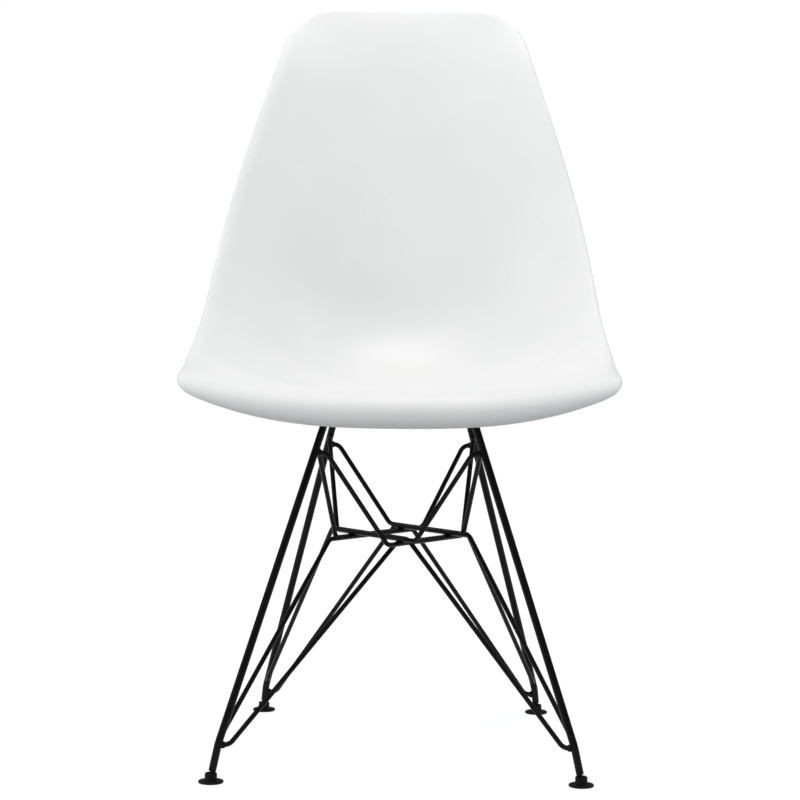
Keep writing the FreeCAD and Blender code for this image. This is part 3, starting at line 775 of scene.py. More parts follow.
@dataclass
class SeatShell:
    """The one-piece shell: a sheet through stations from the front lip to the top of the back."""

    middle_of_feet: float
    width: float = 457.4
    top: float = 832.0
    crest: float = 405.0
    lip_drop: float = 38.0
    front_reach: float = 236.0
    hollow_depth: float = 17.0
    heel_rise: float = 48.0
    heel_reach: float = 175.0
    back_reach: float = 268.0
    wall: float = 5.0
    flange_width: float = 12.0
    flange_drop: float = 4.0
    flange_fade: float = 0.12
    boss_radius: float = 13.0
    boss_fillet: float = 3.0
    boss_chamfer: float = 0.6
    boss_least_side: float = 0.7
    boss_sides: int = 64
    fillet_steps: int = 8
    bore_radius: float = 4.6
    # How far a boss runs into the wall, and how far below its face the way up to the wall starts
    boss_bury: float = 1.5
    boss_search: float = 20.0
    rows: int = 220
    columns: int = 140
    edge_steps: int = 10
    length_samples: int = 200
    normal_step: float = 0.001
    sharp_degrees: float = 40.0
    finish: Finish = MouldedPolypropylene()

    def __post_init__(self) -> None:
        """Make the curves that carry the sheet."""
        middles, rims, bows = self.stations()
        runs = np.linalg.norm(np.diff(middles, axis=0), axis=1)
        runs += np.linalg.norm(np.diff(rims, axis=0), axis=1)
        knots = np.concatenate([[0], np.cumsum(runs)]) / runs.sum()
        self.middle_curve = SmoothCurve.through(knots, middles)
        self.rim_curve = SmoothCurve.through(knots, rims)
        self.bow_curve = SmoothCurve.through(knots, bows)

    def stations(self) -> tuple[np.ndarray, np.ndarray, np.ndarray]:
        """Work out the stations, from the front lip to the top of the back.

        Returns:
            Middle points, right rim points, and the exponents by which each station's depth and
            height go from its middle to its rim.
        """
        half = self.width / 2
        nose, crest, top = -self.front_reach, self.crest, self.top
        hollow = crest - self.hollow_depth
        heel, heel_height = self.heel_reach, crest + self.heel_rise
        rise, lean = top - heel_height, self.back_reach - heel
        # Depth and height of the middle; half width, depth and height of the rim; exponents
        rows = [
            ((nose + 13, crest - self.lip_drop), (half - 22.7, nose + 44, crest - 10), 2.4, 2.8),
            ((nose + 3, crest - 31), (half - 14, nose + 42, crest - 6), 2.4, 2.8),
            ((nose, crest - 20), (half - 6, nose + 44, crest), 2.4, 2.8),
            ((nose + 8, crest - 7), (half - 0.8, nose + 51, crest + 9), 2.4, 2.8),
            ((nose + 32, crest), (half - 0.7, nose + 80, crest + 19), 2.4, 2.7),
            ((nose + 120, crest - 7), (half - 5.2, nose + 134, crest + 35), 2.4, 2.6),
            ((-25, hollow + 3), (half - 9, -45, crest + 52), 2.4, 2.5),
            ((48, hollow), (half - 12, 15, crest + 74), 2.4, 2.4),
            ((heel - 69, hollow + 8), (half - 15.2, 60, crest + 101), 2.4, 2.4),
            ((heel - 29, hollow + 30), (half - 19.5, heel - 83, crest + 131), 2.3, 2.4),
            ((heel, heel_height), (half - 24.5, heel - 60, crest + 160), 2.2, 2.3),
        ]
        # The back's middle is given in shares of its rise and lean above the heel
        for height_share, lean_share, rim, depth, height in (
            (0.137, 0.178, (half - 31.5, heel - 38, crest + 194), 2.2, 2.2),
            (0.361, 0.319, (half - 45.5, heel - 9, crest + 250), 2.2, 2.2),
            (0.599, 0.502, (half - 64.5, heel + 21, top - 112), 2.2, 2.2),
            (0.822, 0.745, (half - 82.5, heel + 50, top - 54), 2.2, 3.0),
            (0.945, 0.907, (half - 94.5, heel + 70, top - 26), 2.2, 5.0),
            (1, 1, (half - 105.7, heel + 79, top - 16), 2.2, 7.4),
        ):
            middle = (heel + lean * lean_share, heel_height + rise * height_share)
            rows.append((middle, rim, depth, height))
        middles = np.array([(0, *middle) for middle, rim, depth, height in rows], float)
        rims = np.array([rim for middle, rim, depth, height in rows], float)
        bows = np.array([(depth, height) for middle, rim, depth, height in rows], float)
        return middles, rims, bows

    def bowl(self, along: np.ndarray, across: np.ndarray) -> np.ndarray:
        """Find points of the sitting face before its rim is turned.

        Args:
            along: Places from the front lip, 0, to the top of the back, 1.
            across: Places from the left rim, -1, to the right rim, 1.

        Returns:
            The points.
        """
        middle, rim = self.middle_curve.at(along), self.rim_curve.at(along)
        share = np.abs(across)[..., None]**self.bow_curve.at(along)
        depth_height = middle[..., 1:] + (rim[..., 1:] - middle[..., 1:]) * share
        sideways = rim[..., :1] * across[..., None]
        return np.concatenate([sideways, depth_height], -1)

    def normals(
        self, sheet: Callable[[np.ndarray, np.ndarray], np.ndarray],
        along: np.ndarray, across: np.ndarray,
    ) -> np.ndarray:
        """Find the unit normals of a sheet, on the sitter's side.

        Args:
            sheet: Gives the sheet's points at places along and across.
            along: Places from the front lip, 0, to the top of the back, 1.
            across: Places from the left rim, -1, to the right rim, 1.

        Returns:
            The normals.
        """
        step = self.normal_step
        ahead, behind = np.minimum(along + step, 1), np.maximum(along - step, 0)
        right, left = np.minimum(across + step, 1), np.maximum(across - step, -1)
        run = sheet(ahead, across) - sheet(behind, across)
        span = sheet(along, right) - sheet(along, left)
        made = np.cross(span, run)
        return made / np.linalg.norm(made, axis=-1, keepdims=True)

    def sitting(self, along: np.ndarray, across: np.ndarray) -> np.ndarray:
        """Find points of the sitting face, with its rim turned away from the sitter.

        Args:
            along: Places from the front lip, 0, to the top of the back, 1.
            across: Places from the left rim, -1, to the right rim, 1.

        Returns:
            The points.
        """
        point = self.bowl(along, across)
        inset = self.rim_curve.at(along)[..., 0] * (1 - np.abs(across))
        turn = np.clip(1 - inset / self.flange_width, 0, 1)**2 * self.flange_drop
        fade = np.clip(np.minimum(along, 1 - along) / self.flange_fade, 0, 1)
        turn = turn * fade**2 * (3 - 2 * fade)
        return point - self.normals(self.bowl, along, across) * turn[..., None]

    def grids(self) -> tuple[np.ndarray, np.ndarray]:
        """Spread rows and columns over the sitting face, up to half a wall inside its edges.

        Returns:
            Points and normals, in grids of rows and columns.
        """
        round_off = self.wall / 2
        middle = self.middle_curve.at(np.linspace(0, 1, self.length_samples))
        trim = round_off / np.linalg.norm(np.diff(middle, axis=0), axis=1).sum()
        rows = trim + (1 - 2 * trim) * np.linspace(0, 1, self.rows)
        spread = np.sin(math.pi / 2 * np.linspace(-1, 1, self.columns))
        along = np.repeat(rows[:, None], self.columns, 1)
        reach = 1 - round_off / self.rim_curve.at(rows)[:, :1]
        across = reach * spread[None, :]
        return self.sitting(along, across), self.normals(self.sitting, along, across)

    def skin(self) -> Surface:
        """Close the sheet: sitting face, underside and a round edge.

        Returns:
            The surface, about the middle of the feet.
        """
        points, normals = self.grids()
        rows, columns = self.rows, self.columns
        number = np.arange(rows * columns).reshape(rows, columns)
        sitting_faces = [
            (number[r, c], number[r, c + 1], number[r + 1, c + 1], number[r + 1, c])
            for r in range(rows - 1) for c in range(columns - 1)
        ]
        offset = rows * columns
        under_faces = [tuple(offset + vertex for vertex in face[::-1]) for face in sitting_faces]
        border = np.concatenate([
            number[0, :-1], number[:-1, -1], number[-1, :0:-1], number[:0:-1, 0],
        ])
        flat_points, flat_normals = points.reshape(-1, 3), normals.reshape(-1, 3)
        edge, edge_normal = flat_points[border], flat_normals[border]
        ahead = np.roll(edge, -2, 0) + np.roll(edge, -1, 0)
        outward = np.cross(ahead - np.roll(edge, 1, 0) - np.roll(edge, 2, 0), edge_normal)
        outward /= np.linalg.norm(outward, axis=1, keepdims=True)
        radius = self.wall / 2
        centre = edge - edge_normal * radius
        surfaces = [flat_points, flat_points - flat_normals * self.wall]
        loops = [border]
        for step in range(1, self.edge_steps):
            turn = math.pi * step / self.edge_steps
            raised = centre + edge_normal * radius * math.cos(turn)
            surfaces.append(raised + outward * radius * math.sin(turn))
            loops.append(2 * offset + (step - 1) * len(border) + np.arange(len(border)))
        loops.append(border + offset)
        edge_faces = []
        for upper, lower in zip(loops, loops[1:]):
            for here in range(len(border)):
                after = (here + 1) % len(border)
                edge_faces.append((upper[after], upper[here], lower[here], lower[after]))
        return np.concatenate(surfaces), sitting_faces + under_faces + edge_faces

    def boss(self, x: float, y: float, bottom: float, tree: BVHTree) -> Surface:
        """Make a mounting boss that flares into the underside.

        Args:
            x: Place across, in the frame.
            y: Place along, in the frame.
            bottom: Height of its lower face.
            tree: The skin, to find the underside.

        Returns:
            The surface.
        """
        radius, fillet, chamfer = self.boss_radius, self.boss_fillet, self.boss_chamfer
        flare = radius + fillet
        columns = []
        for turn in equal_turns(self.boss_sides):
            cosine, sine = math.cos(turn), math.sin(turn)
            start = Vector((x + cosine * flare, y + sine * flare, bottom - self.boss_search))
            ceiling = tree.ray_cast(start, Vector((0, 0, 1)))[0].z
            straight = max(bottom + self.boss_least_side, ceiling - fillet)
            profile = [(self.bore_radius, bottom), (radius - chamfer, bottom)]
            profile.append((radius, bottom + chamfer))
            for step in range(self.fillet_steps + 1):
                angle = math.pi / 2 * step / self.fillet_steps
                height = straight + (ceiling - straight) * math.sin(angle)
                profile.append((flare - fillet * math.cos(angle), height))
            buried = ceiling + self.boss_bury
            profile += [(flare, buried), (self.bore_radius, buried)]
            columns.append([(x + cosine * r, y + sine * r, z) for r, z in profile])
        rings = np.array(columns).transpose(1, 0, 2)
        return rings.reshape(-1, 3), rings_to_faces(len(rings), self.boss_sides, closed=True)

    def build(self) -> None:
        """Make the shell with its bosses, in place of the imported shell."""
        vertices, faces = self.skin()
        vertices = vertices + (0, self.middle_of_feet, 0)
        parts = MeshParts()
        parts.add(vertices, faces)
        tree = BVHTree.FromPolygons([tuple(point) for point in vertices], faces)
        for end, side in corners():
            pad = f"{corner_name(end, side)}_mounting_pad"
            centre, top = node_middle(pad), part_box(pad)[1].z / MM
            parts.add(*self.boss(centre.x, centre.y, top, tree))
        piece = parts.piece("moulded_seat_shell", self.finish, self.sharp_degrees)
        settle(piece, "root", "seat_shell")


# Wire base


def by_end(front: float, rear: float) -> dict[End, float]:
    """A field with one value for the front of the chair and one for the rear."""
    return field(default_factory=lambda: {End.FRONT: front, End.REAR: rear})


@dataclass
class WireBase:
    """Two leg rods, two cross rods and eight brace wires, welded together and coated."""

    middle_of_feet: float
    rail_height: float
    leg_radius: float = 4.0
    brace_radius: float = 2.6
    rail_bend: float = 16.0
    ankle_bend: float = 30.0
    foot_across: dict[End, float] = by_end(190.0, 161.4)
    foot_along: float = 200.0
    rail_across: dict[End, float] = by_end(77.8, 72.4)
    rail_along: float = 95.0
    cross_rod_inset: float = 7.0
    ankle_height: dict[End, float] = by_end(40.0, 30.0)
    ankle_slope: dict[End, float] = by_end(0.215, 0.1)
    ankle_slope_along: float = 0.06
    ball_height: float = 6.2
    stud_length: float = 6.8
    ring_height: float = 232.4
    ring_reach: dict[End, float] = by_end(63.5, 61.0)
    ring_side: float = 52.6
    weld_gap: float = 0.2
    pair_gap: float = 0.5
    # How far a brace runs past the crossing at the end of its link before it turns away
    end_run: dict[tuple[End, Tier, Layer], float] = field(default_factory=lambda: {
        (End.FRONT, Tier.LOWER, Layer.UNDER): 2.0,
        (End.FRONT, Tier.LOWER, Layer.OVER): 11.2,
        (End.FRONT, Tier.UPPER, Layer.UNDER): 22.4,
        (End.FRONT, Tier.UPPER, Layer.OVER): 31.0,
        (End.REAR, Tier.LOWER, Layer.UNDER): 18.0,
        (End.REAR, Tier.LOWER, Layer.OVER): 5.9,
        (End.REAR, Tier.UPPER, Layer.UNDER): 41.3,
        (End.REAR, Tier.UPPER, Layer.OVER): 21.6,
    })
    lower_side_run: float = 39.0
    upper_side_run: float = 23.0
    ring_bend: float = 9.0
    hook_bend: float = 11.0
    hook_stub: float = 1.0
    hook_rounds: int = 8
    weld_throat: float = 1.3
    # Ripples and lumps of a bead, in shares of its size: what is left between the ripples, their
    # depth and the lumps' depth, how many go round, and how much the ripples slant
    ripple_floor: float = 0.94
    ripple_depth: float = 0.05
    ripple_count: float = 3.5
    ripple_slant: float = 0.6
    lump_depth: float = 0.01
    lump_count: int = 2
    # Turn of the ripples for each millimetre of a bead's place across and up, so beads differ
    ripple_shift: tuple[float, float] = (0.37, 0.11)
    bead_sides: int = 48
    bead_rings: int = 20
    # Heights of the lower brace ends above the floor, and drops of the upper ones below the rail
    face_end: dict[tuple[Tier, End], float] = field(default_factory=lambda: {
        (Tier.LOWER, End.FRONT): 39.1,
        (Tier.LOWER, End.REAR): 22.5,
        (Tier.UPPER, End.FRONT): 36.5,
        (Tier.UPPER, End.REAR): 44.5,
    })
    side_end: dict[tuple[Tier, End], float] = field(default_factory=lambda: {
        (Tier.LOWER, End.FRONT): 45.6,
        (Tier.LOWER, End.REAR): 39.8,
        (Tier.UPPER, End.FRONT): 29.6,
        (Tier.UPPER, End.REAR): 36.3,
    })
    leg_sides: int = 40
    brace_sides: int = 32
    cut_chamfer: float = 0.35
    finish: Finish = PowderCoatedSteel()

    def __post_init__(self) -> None:
        """Start the groups of weld beads."""
        groups = ("left_leg_welds", "right_leg_welds", "rail_welds")
        self.beads = {name: MeshParts() for name in groups}

    def place(self, x: float, y: float, z: float) -> Vector:
        """A place in the frame, from one about the middle of the feet."""
        return Vector((x, y + self.middle_of_feet, z))

    def ball(self, end: End, side: Side) -> Vector:
        """Centre of the ball under a leg."""
        across, along = side.value * self.foot_across[end], end.value * self.foot_along
        return self.place(across, along, self.ball_height)

    def lean(self, end: End, side: Side) -> Vector:
        """Direction of a leg below its ankle, upwards."""
        slope = (-side.value * self.ankle_slope[end], -end.value * self.ankle_slope_along, 1)
        return Vector(slope).normalized()

    def ankle(self, end: End, side: Side) -> Vector:
        """Corner of the bend above a foot."""
        lean = self.lean(end, side)
        return self.ball(end, side) + lean * ((self.ankle_height[end] - self.ball_height) / lean.z)

    def rail_end(self, end: End, side: Side) -> Vector:
        """Corner between a leg and its rail."""
        across, along = side.value * self.rail_across[end], end.value * self.rail_along
        return self.place(across, along, self.rail_height)

    def leg_end(self, end: End, side: Side) -> Vector:
        """Lower end of a leg."""
        return self.ball(end, side) + self.lean(end, side) * self.stud_length

    def wire(self, name: str, route: Sequence[Vector], radius: float, sides: int) -> None:
        """Make one rod or wire in place of its node.

        Args:
            name: Name of the node.
            route: Points of the wire's axis.
            radius: Radius of the wire.
            sides: Vertices round the wire.
        """
        parts = MeshParts()
        parts.add(*rod(route, radius, sides, self.cut_chamfer))
        settle(parts.piece(f"coated_{name}", self.finish), "root", name)

    def leg_rod(self, side: Side) -> None:
        """Make front leg, rail and rear leg of one side, in one rod.

        Args:
            side: Side of the chair.
        """
        points = [
            self.leg_end(End.FRONT, side), self.ankle(End.FRONT, side),
            self.rail_end(End.FRONT, side), self.rail_end(End.REAR, side),
            self.ankle(End.REAR, side), self.leg_end(End.REAR, side),
        ]
        radii = [self.ankle_bend, self.rail_bend, self.rail_bend, self.ankle_bend]
        route = rounded_route(points, radii)
        self.wire(f"{side.word}_leg_rod", route, self.leg_radius, self.leg_sides)

    def cross_rod(self, end: End) -> None:
        """Make the rod between the rails at one end, and its weld beads.

        Args:
            end: End of the chair.
        """
        along = self.rail_along - self.cross_rod_inset
        share = (self.rail_along + end.value * along) / (2 * self.rail_along)
        rail = self.rail_across[End.FRONT]
        rail += (self.rail_across[End.REAR] - self.rail_across[End.FRONT]) * share
        reach = rail - self.leg_radius - self.weld_gap
        route = [
            self.place(across, end.value * along, self.rail_height) for across in (-reach, 0, reach)
        ]
        self.wire(f"{end.word}_cross_rod", route, self.leg_radius, self.leg_sides)
        for side, tip in ((Side.LEFT, route[0]), (Side.RIGHT, route[-1])):
            self.bead("rail_welds", tip, Vector((-side.value, 0, 0)), self.leg_radius)

    def bead(self, group: str, centre: Vector, way: Vector, wire_radius: float) -> None:
        """Add a weld bead round the end of a wire, in overlapping ripples.

        Args:
            group: Node that the bead belongs to.
            centre: End of the wire's axis.
            way: Direction of the wire off the rod that it meets.
            wire_radius: Radius of the wire.
        """
        size = wire_radius + self.weld_throat
        across = way.orthogonal().normalized()
        up = way.cross(across)
        phase = centre.x * self.ripple_shift[0] + centre.z * self.ripple_shift[1]
        sides, rings = self.bead_sides, self.bead_rings
        places = []
        for ring in range(1, rings):
            tilt = math.pi * ring / rings
            for side in range(sides):
                turn = 2 * math.pi * side / sides
                wave = abs(math.sin(self.ripple_count * turn + phase + self.ripple_slant * tilt))
                lump = self.lump_depth * math.sin(self.lump_count * turn + phase * 3)
                reach = size * (self.ripple_floor + self.ripple_depth * wave + lump)
                ring_way = across * math.cos(turn) + up * math.sin(turn)
                places.append(centre + (way * math.cos(tilt) + ring_way * math.sin(tilt)) * reach)
        self.beads[group].add(np.array(places), rings_to_faces(rings - 1, sides))

    def hooked_end(
        self, end: End, side: Side, height: float, way: Vector, target: Vector
    ) -> tuple[Vector, Vector]:
        """Find where a brace starts on a leg, and the corner of the hook that turns it away.

        Args:
            end: End of the chair that the leg is at.
            side: Side of the chair that the leg is at.
            height: Height of the brace's start above the floor.
            way: Direction in which the brace leaves the leg.
            target: Point that the brace runs to from its hook.

        Returns:
            The start of the brace's axis, and the corner of the hook.
        """
        low, high = self.ball(end, side), self.ankle(end, side)
        if height >= high.z:
            low, high = high, self.rail_end(end, side)
        axis = high - low
        lean = abs(axis.dot(way)) / axis.z
        skin_distance = self.leg_radius * math.hypot(1, lean) + self.brace_radius * lean
        start = low + axis * ((height - low.z) / axis.z) + way * (skin_distance + self.weld_gap)
        corner = start + way * self.hook_stub
        # The hook's turn depends on where its corner is, so both are found in a few rounds
        for _ in range(self.hook_rounds):
            half_turn = way.angle(target - corner) / 2
            corner = start + way * (self.hook_stub + self.hook_bend * math.tan(half_turn))
        return start, corner

    def link(self, end: End, side: Side, layer: Layer) -> None:
        """Make one link of the ring: a lower brace on its inner side, an upper one outside.

        Args:
            end: End of the chair that the link starts from.
            side: Side of the chair that it goes to.
            layer: Whether it passes under or over its neighbours.
        """
        first = Vector((0, end.value * self.ring_reach[end], 0))
        last = Vector((side.value * self.ring_side, 0, 0))
        run = (last - first).normalized()
        inward = Vector((-run.y, run.x, 0))
        if inward.dot(first + last) > 0:
            inward = -inward
        pair_offset = self.brace_radius + self.pair_gap / 2
        layer_rise = (2 * self.brace_radius + self.weld_gap) * layer.value
        level = self.place(0, 0, self.ring_height + layer_rise)
        face_way, side_way = Vector((side.value, 0, 0)), Vector((0, end.value, 0))
        for tier in Tier:
            offset, side_run = pair_offset, self.lower_side_run
            face_height, side_height = self.face_end[tier, end], self.side_end[tier, end.other]
            if tier is Tier.UPPER:
                offset, side_run = -pair_offset, self.upper_side_run
                face_height = self.rail_height - face_height
                side_height = self.rail_height - side_height
            shift = level + inward * offset
            first_corner = first - run * self.end_run[end, tier, layer] + shift
            last_corner = last + run * side_run + shift
            face_start, face_hook = self.hooked_end(
                end, side.other, face_height, face_way, first_corner
            )
            side_start, side_hook = self.hooked_end(
                end.other, side, side_height, side_way, last_corner
            )
            points = [face_start, face_hook, first_corner, last_corner, side_hook, side_start]
            radii = [self.hook_bend, self.ring_bend, self.ring_bend, self.hook_bend]
            name = f"{tier.value}_brace_{end.word}_{side.word}"
            self.wire(name, rounded_route(points, radii), self.brace_radius, self.brace_sides)
            self.bead(f"{side.other.word}_leg_welds", face_start, face_way, self.brace_radius)
            self.bead(f"{side.word}_leg_welds", side_start, side_way, self.brace_radius)

    def build(self) -> None:
        """Make all rods, wires and weld beads."""
        for side in Side:
            self.leg_rod(side)
        for end in End:
            self.cross_rod(end)
        for end, side, layer in (
            (End.FRONT, Side.RIGHT, Layer.UNDER), (End.FRONT, Side.LEFT, Layer.OVER),
            (End.REAR, Side.RIGHT, Layer.OVER), (End.REAR, Side.LEFT, Layer.UNDER),
        ):
            self.link(end, side, layer)
        for name, parts in self.beads.items():
            settle(parts.piece(f"rippled_{name}", self.finish), "root", name)


# Mounts between base and shell


@dataclass
class MountStack:
    """Plates, pads, inserts, washers and screws at the four bosses."""

    head_width: float = 10.0
    head_height: float = 4.0
    head_chamfer: float = 0.7
    # The head's outer face and the top of its chamfer, in shares of half its width
    face_share: float = 0.93
    shoulder_share: float = 1.04
    # The chamfer's first step, in shares of its height
    shoulder_height: float = 0.55
    head_break: float = 0.2
    shank_radius: float = 2.9
    tip_chamfer: float = 0.6
    steps_per_flat: int = 6
    sharp_degrees: float = 25.0
    pad_bevel: float = 0.25
    plate_bevel: float = 0.4
    small_bevel: float = 0.2
    screw_finish: Finish = ZincPlatedSteel()

    def screw(self, x: float, y: float, low: float, high: float) -> Surface:
        """Make a hexagon screw that stands on its head.

        Args:
            x: Place across.
            y: Place along.
            low: Height of the head's outer face.
            high: Height of the shank's tip.

        Returns:
            The surface.
        """
        sides = 6 * self.steps_per_flat
        turns = equal_turns(sides)
        flat = self.head_width / 2
        hexagon = flat / np.cos((turns % (math.pi / 3)) - math.pi / 6)
        circle = np.full(sides, flat)
        shank = np.full(sides, self.shank_radius)
        head_top = low + self.head_height
        rings = [
            (circle * self.face_share, low),
            (
                np.minimum(hexagon, circle * self.shoulder_share),
                low + self.head_chamfer * self.shoulder_height,
            ),
            (hexagon, low + self.head_chamfer),
            (hexagon, head_top - self.head_break),
            (hexagon - self.head_break, head_top),
            (shank, head_top),
            (shank, high - self.tip_chamfer),
            (shank - self.tip_chamfer, high),
        ]
        vertices = []
        for radius, height in rings:
            across, along = x + radius * np.cos(turns), y + radius * np.sin(turns)
            vertices.append(np.stack([across, along, np.full(sides, height)], -1))
        return np.concatenate(vertices), rings_to_faces(len(rings), sides)

    def build(self) -> None:
        """Make the screws and dress the other pieces."""
        low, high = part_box("mount_bolts")
        parts = MeshParts()
        for end, side in corners():
            name = corner_name(end, side)
            centre = node_middle(f"{name}_mounting_pad")
            parts.add(*self.screw(centre.x, centre.y, low.z / MM, high.z / MM))
            dress_node(f"{name}_mounting_pad", DieCutRubber(), self.pad_bevel)
            dress_node(f"{name}_mounting_plate", PowderCoatedSteel(), self.plate_bevel)
        piece = parts.piece("hexagon_screws", self.screw_finish, self.sharp_degrees)
        settle(piece, "root", "mount_bolts")
        dress_node("washers", ZincPlatedSteel(), self.small_bevel)
        dress_node("threaded_inserts", TurnedBrass(), self.small_bevel)


# Feet


@dataclass
class FootGlide:
    """A disc with a socket cap that tilts on the ball under a leg."""

    end: End
    side: Side
    disc_radius: float = 13.1
    thickness: float = 3.8
    edge: float = 2.8
    rim: float = 1.2
    cap_radius: float = 6.4
    cap_height: float = 10.8
    cap_round: float = 2.0
    root_fillet: float = 1.2
    ball_height: float = 6.2
    socket_radius: float = 3.8
    mouth_radius: float = 4.1
    mouth_chamfer: float = 0.2
    # The socket's arc, from its mouth down to its middle, in degrees
    socket_arc: tuple[float, float] = (37.0, -89.0)
    socket_steps: int = 14
    # The sole's hollow middle, and the ring that stands on the floor round it
    sole_middle: float = 0.02
    sole_ring: tuple[float, float] = (0.52, 0.72)
    sole_groove: float = 0.35
    # A line round the sole: distance outside the ring, and depth in shares of the groove
    sole_line: tuple[tuple[float, float], ...] = ((0.2, 0.7), (0.6, 0.7), (0.8, 0.0))
    arc_count: int = 8
    sides: int = 96
    sharp_degrees: float = 50.0
    finish: Finish = MouldedNylon()

    def profile(self) -> list[tuple[float, float]]:
        """Go round the disc, the cap and the socket, from the sole's middle.

        Returns:
            Radius and height of each point.
        """
        groove, rim, root, cap = self.sole_groove, self.rim, self.root_fillet, self.cap_round
        inner, outer = (self.disc_radius * share for share in self.sole_ring)
        steps = [(self.sole_middle, groove), (inner, groove), (inner + groove, 0), (outer, 0)]
        steps += [(outer + away, groove * depth) for away, depth in self.sole_line]
        for centre, radius, start, stop in (
            ((self.disc_radius - rim, rim), rim, -90, 0),
            ((self.disc_radius - rim, self.edge - rim), rim, 0, 90),
            ((self.cap_radius + root, self.thickness + root), root, -90, -180),
            ((self.cap_radius - cap, self.cap_height - cap), cap, 0, 90),
        ):
            steps += arc_steps(centre, radius, start, stop, self.arc_count)
        steps.append((self.mouth_radius + self.mouth_chamfer, self.cap_height))
        steps.append((self.mouth_radius, self.cap_height - self.mouth_chamfer))
        ball = (0, self.ball_height)
        return steps + arc_steps(ball, self.socket_radius, *self.socket_arc, self.socket_steps)

    def build(self) -> None:
        """Make the glide in place of its node, and give the ball stud above it its finish."""
        name = corner_name(self.end, self.side)
        centre, sole = node_middle(f"{name}_glide"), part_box(f"{name}_glide")[0].z / MM
        vertices, faces = turned(self.profile(), self.sides)
        parts = MeshParts()
        parts.add(vertices + (centre.x, centre.y, sole), faces)
        piece = parts.piece(f"moulded_{name}_glide", self.finish, self.sharp_degrees)
        settle(piece, f"{name}_foot", f"{name}_glide")
        dress_node(f"{name}_ball_stud", PowderCoatedSteel())


# Studio


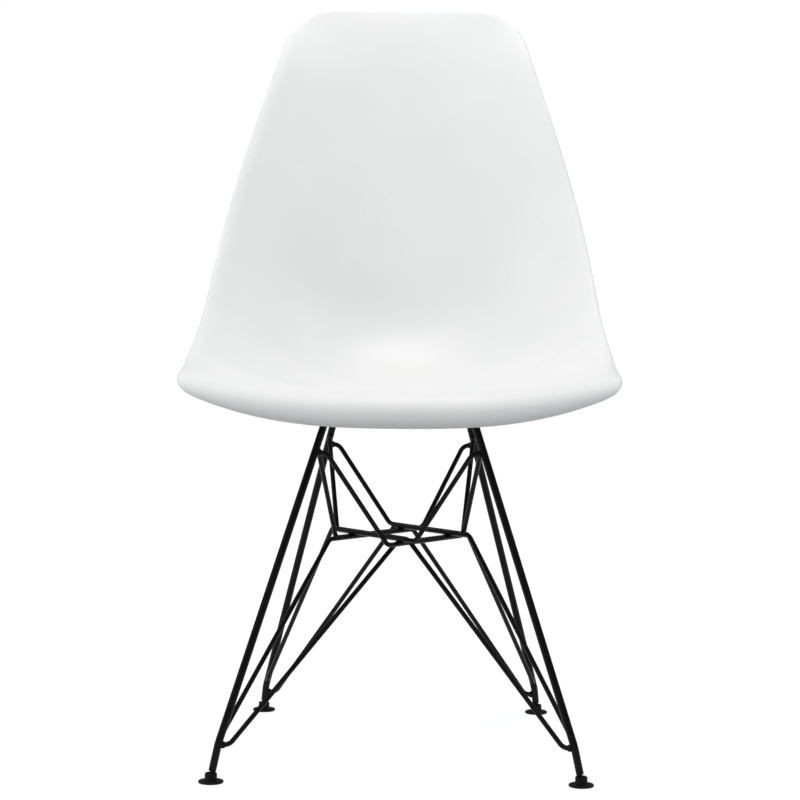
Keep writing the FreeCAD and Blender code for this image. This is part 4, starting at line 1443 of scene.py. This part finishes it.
@dataclass
class Studio:
    """A plain pale floor, soft light and the camera of the photograph."""

    middle_of_feet: float
    # Place of the camera about the middle of the feet, in millimetres
    camera_place: tuple[float, float, float] = (26.12, -2715.35, 550.52)
    # Degrees that it looks down, turns to the right, and lifts its right side
    camera_pitch: float = 3.531
    camera_yaw: float = -0.571
    camera_roll: float = 0.46
    focal_pixels: float = 2480.5
    image_pixels: float = 800.0
    sensor_width: float = 36.0
    # Farthest that the camera sees, in metres
    sight: float = 100.0
    floor_radius: float = 9000.0
    # Radius at which the floor starts to fade out, and its depth below the soles
    floor_fade: float = 5000.0
    floor_depth: float = 0.1
    floor_sides: int = 128
    floor_colour: str = "#A0A1A1"
    floor_glow: float = 0.81
    floor_roughness: float = 0.9
    floor_specular: float = 0.1
    # Degrees above the horizon, and strength. The lowest and highest come first, as in a new
    # ramp. The strengths below the horizon stand for the light that the floor would give back.
    sky: tuple[tuple[float, float], ...] = (
        (-90.0, 0.08), (90.0, 0.0), (-40.0, 0.08), (-12.0, 1.52), (-4.0, 1.03),
        (6.5, 1.03), (9.0, 0.0), (25.0, 0.0), (45.0, 1.43), (70.0, 0.0),
    )
    sky_scale: float = 2.0
    sky_colour: str = "#FCFEFF"
    lamp_colour: str = "#FFFCF9"
    lamp_size: float = 1.6
    # Place in metres that every lamp faces
    lamp_aim: tuple[float, float, float] = (0.0, 0.0, 0.45)
    # Name, place in metres, and watts
    lamps: tuple[tuple[str, tuple[float, float, float], float], ...] = (
        ("left_light", (-2.2, -1.4, 2.2), 5.0),
        ("right_light", (2.2, -1.4, 2.2), 1.4),
        ("low_left_light", (-2.8, -0.9, 0.9), 8.0),
        ("top_light", (0.0, -0.3, 3.2), 38.0),
    )

    def camera(self) -> None:
        """Make the camera at the photograph's place, with no shift and no depth of field."""
        pitch, yaw, roll = (
            math.radians(angle) for angle in (self.camera_pitch, self.camera_yaw, self.camera_roll)
        )
        level = Vector((math.sin(yaw), math.cos(yaw), 0))
        right = Vector((math.cos(yaw), -math.sin(yaw), 0))
        forward = level * math.cos(pitch) - Vector((0, 0, math.sin(pitch)))
        up = Vector((0, 0, math.cos(pitch))) + level * math.sin(pitch)
        rolled_right = right * math.cos(roll) + up * math.sin(roll)
        rolled_up = up * math.cos(roll) - right * math.sin(roll)
        data = bpy.data.cameras.new("photograph_camera")
        data.sensor_width = self.sensor_width
        data.sensor_fit = "HORIZONTAL"
        data.lens = self.focal_pixels / self.image_pixels * self.sensor_width
        data.clip_end = self.sight
        made = bpy.data.objects.new("photograph_camera", data)
        axes = Matrix((rolled_right, rolled_up, -forward)).transposed().to_4x4()
        place = Vector(self.camera_place) + Vector((0, self.middle_of_feet, 0))
        made.matrix_world = Matrix.Translation(place * MM) @ axes
        bpy.context.scene.collection.objects.link(made)
        bpy.context.scene.camera = made

    def floor(self) -> None:
        """Make a pale disc that fades out into the white surroundings."""
        vertices = turned([(self.floor_radius, -self.floor_depth)], self.floor_sides)[0]
        disc = tuple(range(self.floor_sides))
        mesh = bpy.data.meshes.new("pale_floor")
        mesh.from_pydata([tuple(point * MM) for point in vertices], [], [disc])
        mesh.update()
        made = bpy.data.materials.new("pale_floor_paint")
        made.use_nodes = True
        tree = made.node_tree
        tree.nodes.clear()
        place = add_node(tree, "ShaderNodeTexCoord").outputs["Object"]
        distance = add_node(tree, "ShaderNodeVectorMath", {"operation": "LENGTH"}, {0: place})
        fade = add_node(tree, "ShaderNodeMapRange", {
            "From Min": self.floor_fade * MM, "From Max": self.floor_radius * MM,
            "interpolation_type": "SMOOTHSTEP",
        }, {"Value": distance.outputs["Value"]})
        paint = add_node(tree, "ShaderNodeBsdfPrincipled", {
            "Base Color": linear_colour(self.floor_colour),
            "Roughness": self.floor_roughness,
            "Specular IOR Level": self.floor_specular,
            "Emission Color": (1.0, 1.0, 1.0, 1.0),
            "Emission Strength": self.floor_glow,
        })
        clear = add_node(tree, "ShaderNodeBsdfTransparent")
        mixed = add_node(tree, "ShaderNodeMixShader", None, {
            0: fade.outputs["Result"], 1: paint.outputs["BSDF"], 2: clear.outputs["BSDF"],
        })
        add_node(tree, "ShaderNodeOutputMaterial", None, {"Surface": mixed.outputs["Shader"]})
        mesh.materials.append(made)
        piece = bpy.data.objects.new("pale_floor", mesh)
        bpy.context.scene.collection.objects.link(piece)
        # The dim lower surroundings stand for its light on the chair, so it gives none itself
        piece.visible_diffuse = False

    def soft_light(self, name: str, place: tuple[float, float, float], power: float) -> None:
        """Make a large soft light that faces the seat.

        Args:
            name: Name of the light.
            place: Place in metres.
            power: Power in watts.
        """
        data = bpy.data.lights.new(name, "AREA")
        data.shape = "SQUARE"
        data.size = self.lamp_size
        data.color = linear_colour(self.lamp_colour)[:3]
        data.energy = power
        made = bpy.data.objects.new(name, data)
        aim = (Vector(self.lamp_aim) - Vector(place)).to_track_quat("-Z", "Y")
        made.matrix_world = Matrix.Translation(place) @ aim.to_matrix().to_4x4()
        bpy.context.scene.collection.objects.link(made)

    def surroundings(self) -> None:
        """Make white surroundings whose strength changes with the height above the horizon."""
        world = bpy.data.worlds.new("white_surroundings")
        world.use_nodes = True
        tree = world.node_tree
        direction = add_node(tree, "ShaderNodeTexCoord").outputs["Generated"]
        height = add_node(tree, "ShaderNodeSeparateXYZ", None, {"Vector": direction}).outputs["Z"]
        share = add_node(tree, "ShaderNodeMapRange", {"From Min": -1.0}, {"Value": height})
        ramp = add_node(tree, "ShaderNodeValToRGB", None, {"Fac": share.outputs["Result"]})
        stops = ramp.color_ramp.elements
        ready = len(stops)
        tint = linear_colour(self.sky_colour)[:3]
        for number, (elevation, strength) in enumerate(self.sky):
            place = (math.sin(math.radians(elevation)) + 1) / 2
            stop = stops[number] if number < ready else stops.new(place)
            stop.position = place
            stop.color = (*(strength / self.sky_scale * channel for channel in tint), 1.0)
        backdrop = tree.nodes["Background"]
        backdrop.inputs["Strength"].default_value = self.sky_scale
        tree.links.new(ramp.outputs["Color"], backdrop.inputs["Color"])
        bpy.context.scene.world = world

    def build(self) -> None:
        """Make the surroundings, the floor, the lights and the camera."""
        bpy.context.scene.view_settings.view_transform = "Standard"
        self.surroundings()
        self.floor()
        for name, place, power in self.lamps:
            self.soft_light(name, place, power)
        self.camera()
        log.info("studio built")


def middle_of_feet() -> float:
    """Place along, in millimetres, of the middle between the front and rear feet."""
    boxes = [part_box(f"{corner_name(end, Side.LEFT)}_glide") for end in End]
    return sum((low.y + high.y) / (2 * MM) for low, high in boxes) / 2


def main() -> None:
    """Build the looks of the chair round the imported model."""
    logging.basicConfig(level=logging.INFO, format="%(name)s: %(message)s")
    middle = middle_of_feet()
    low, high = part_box("front_cross_rod")
    SeatShell(middle).build()
    WireBase(middle, (low.z + high.z) / (2 * MM)).build()
    MountStack().build()
    for end, side in corners():
        FootGlide(end, side).build()
    Studio(middle).build()


if __name__ == "__main__":
    main()
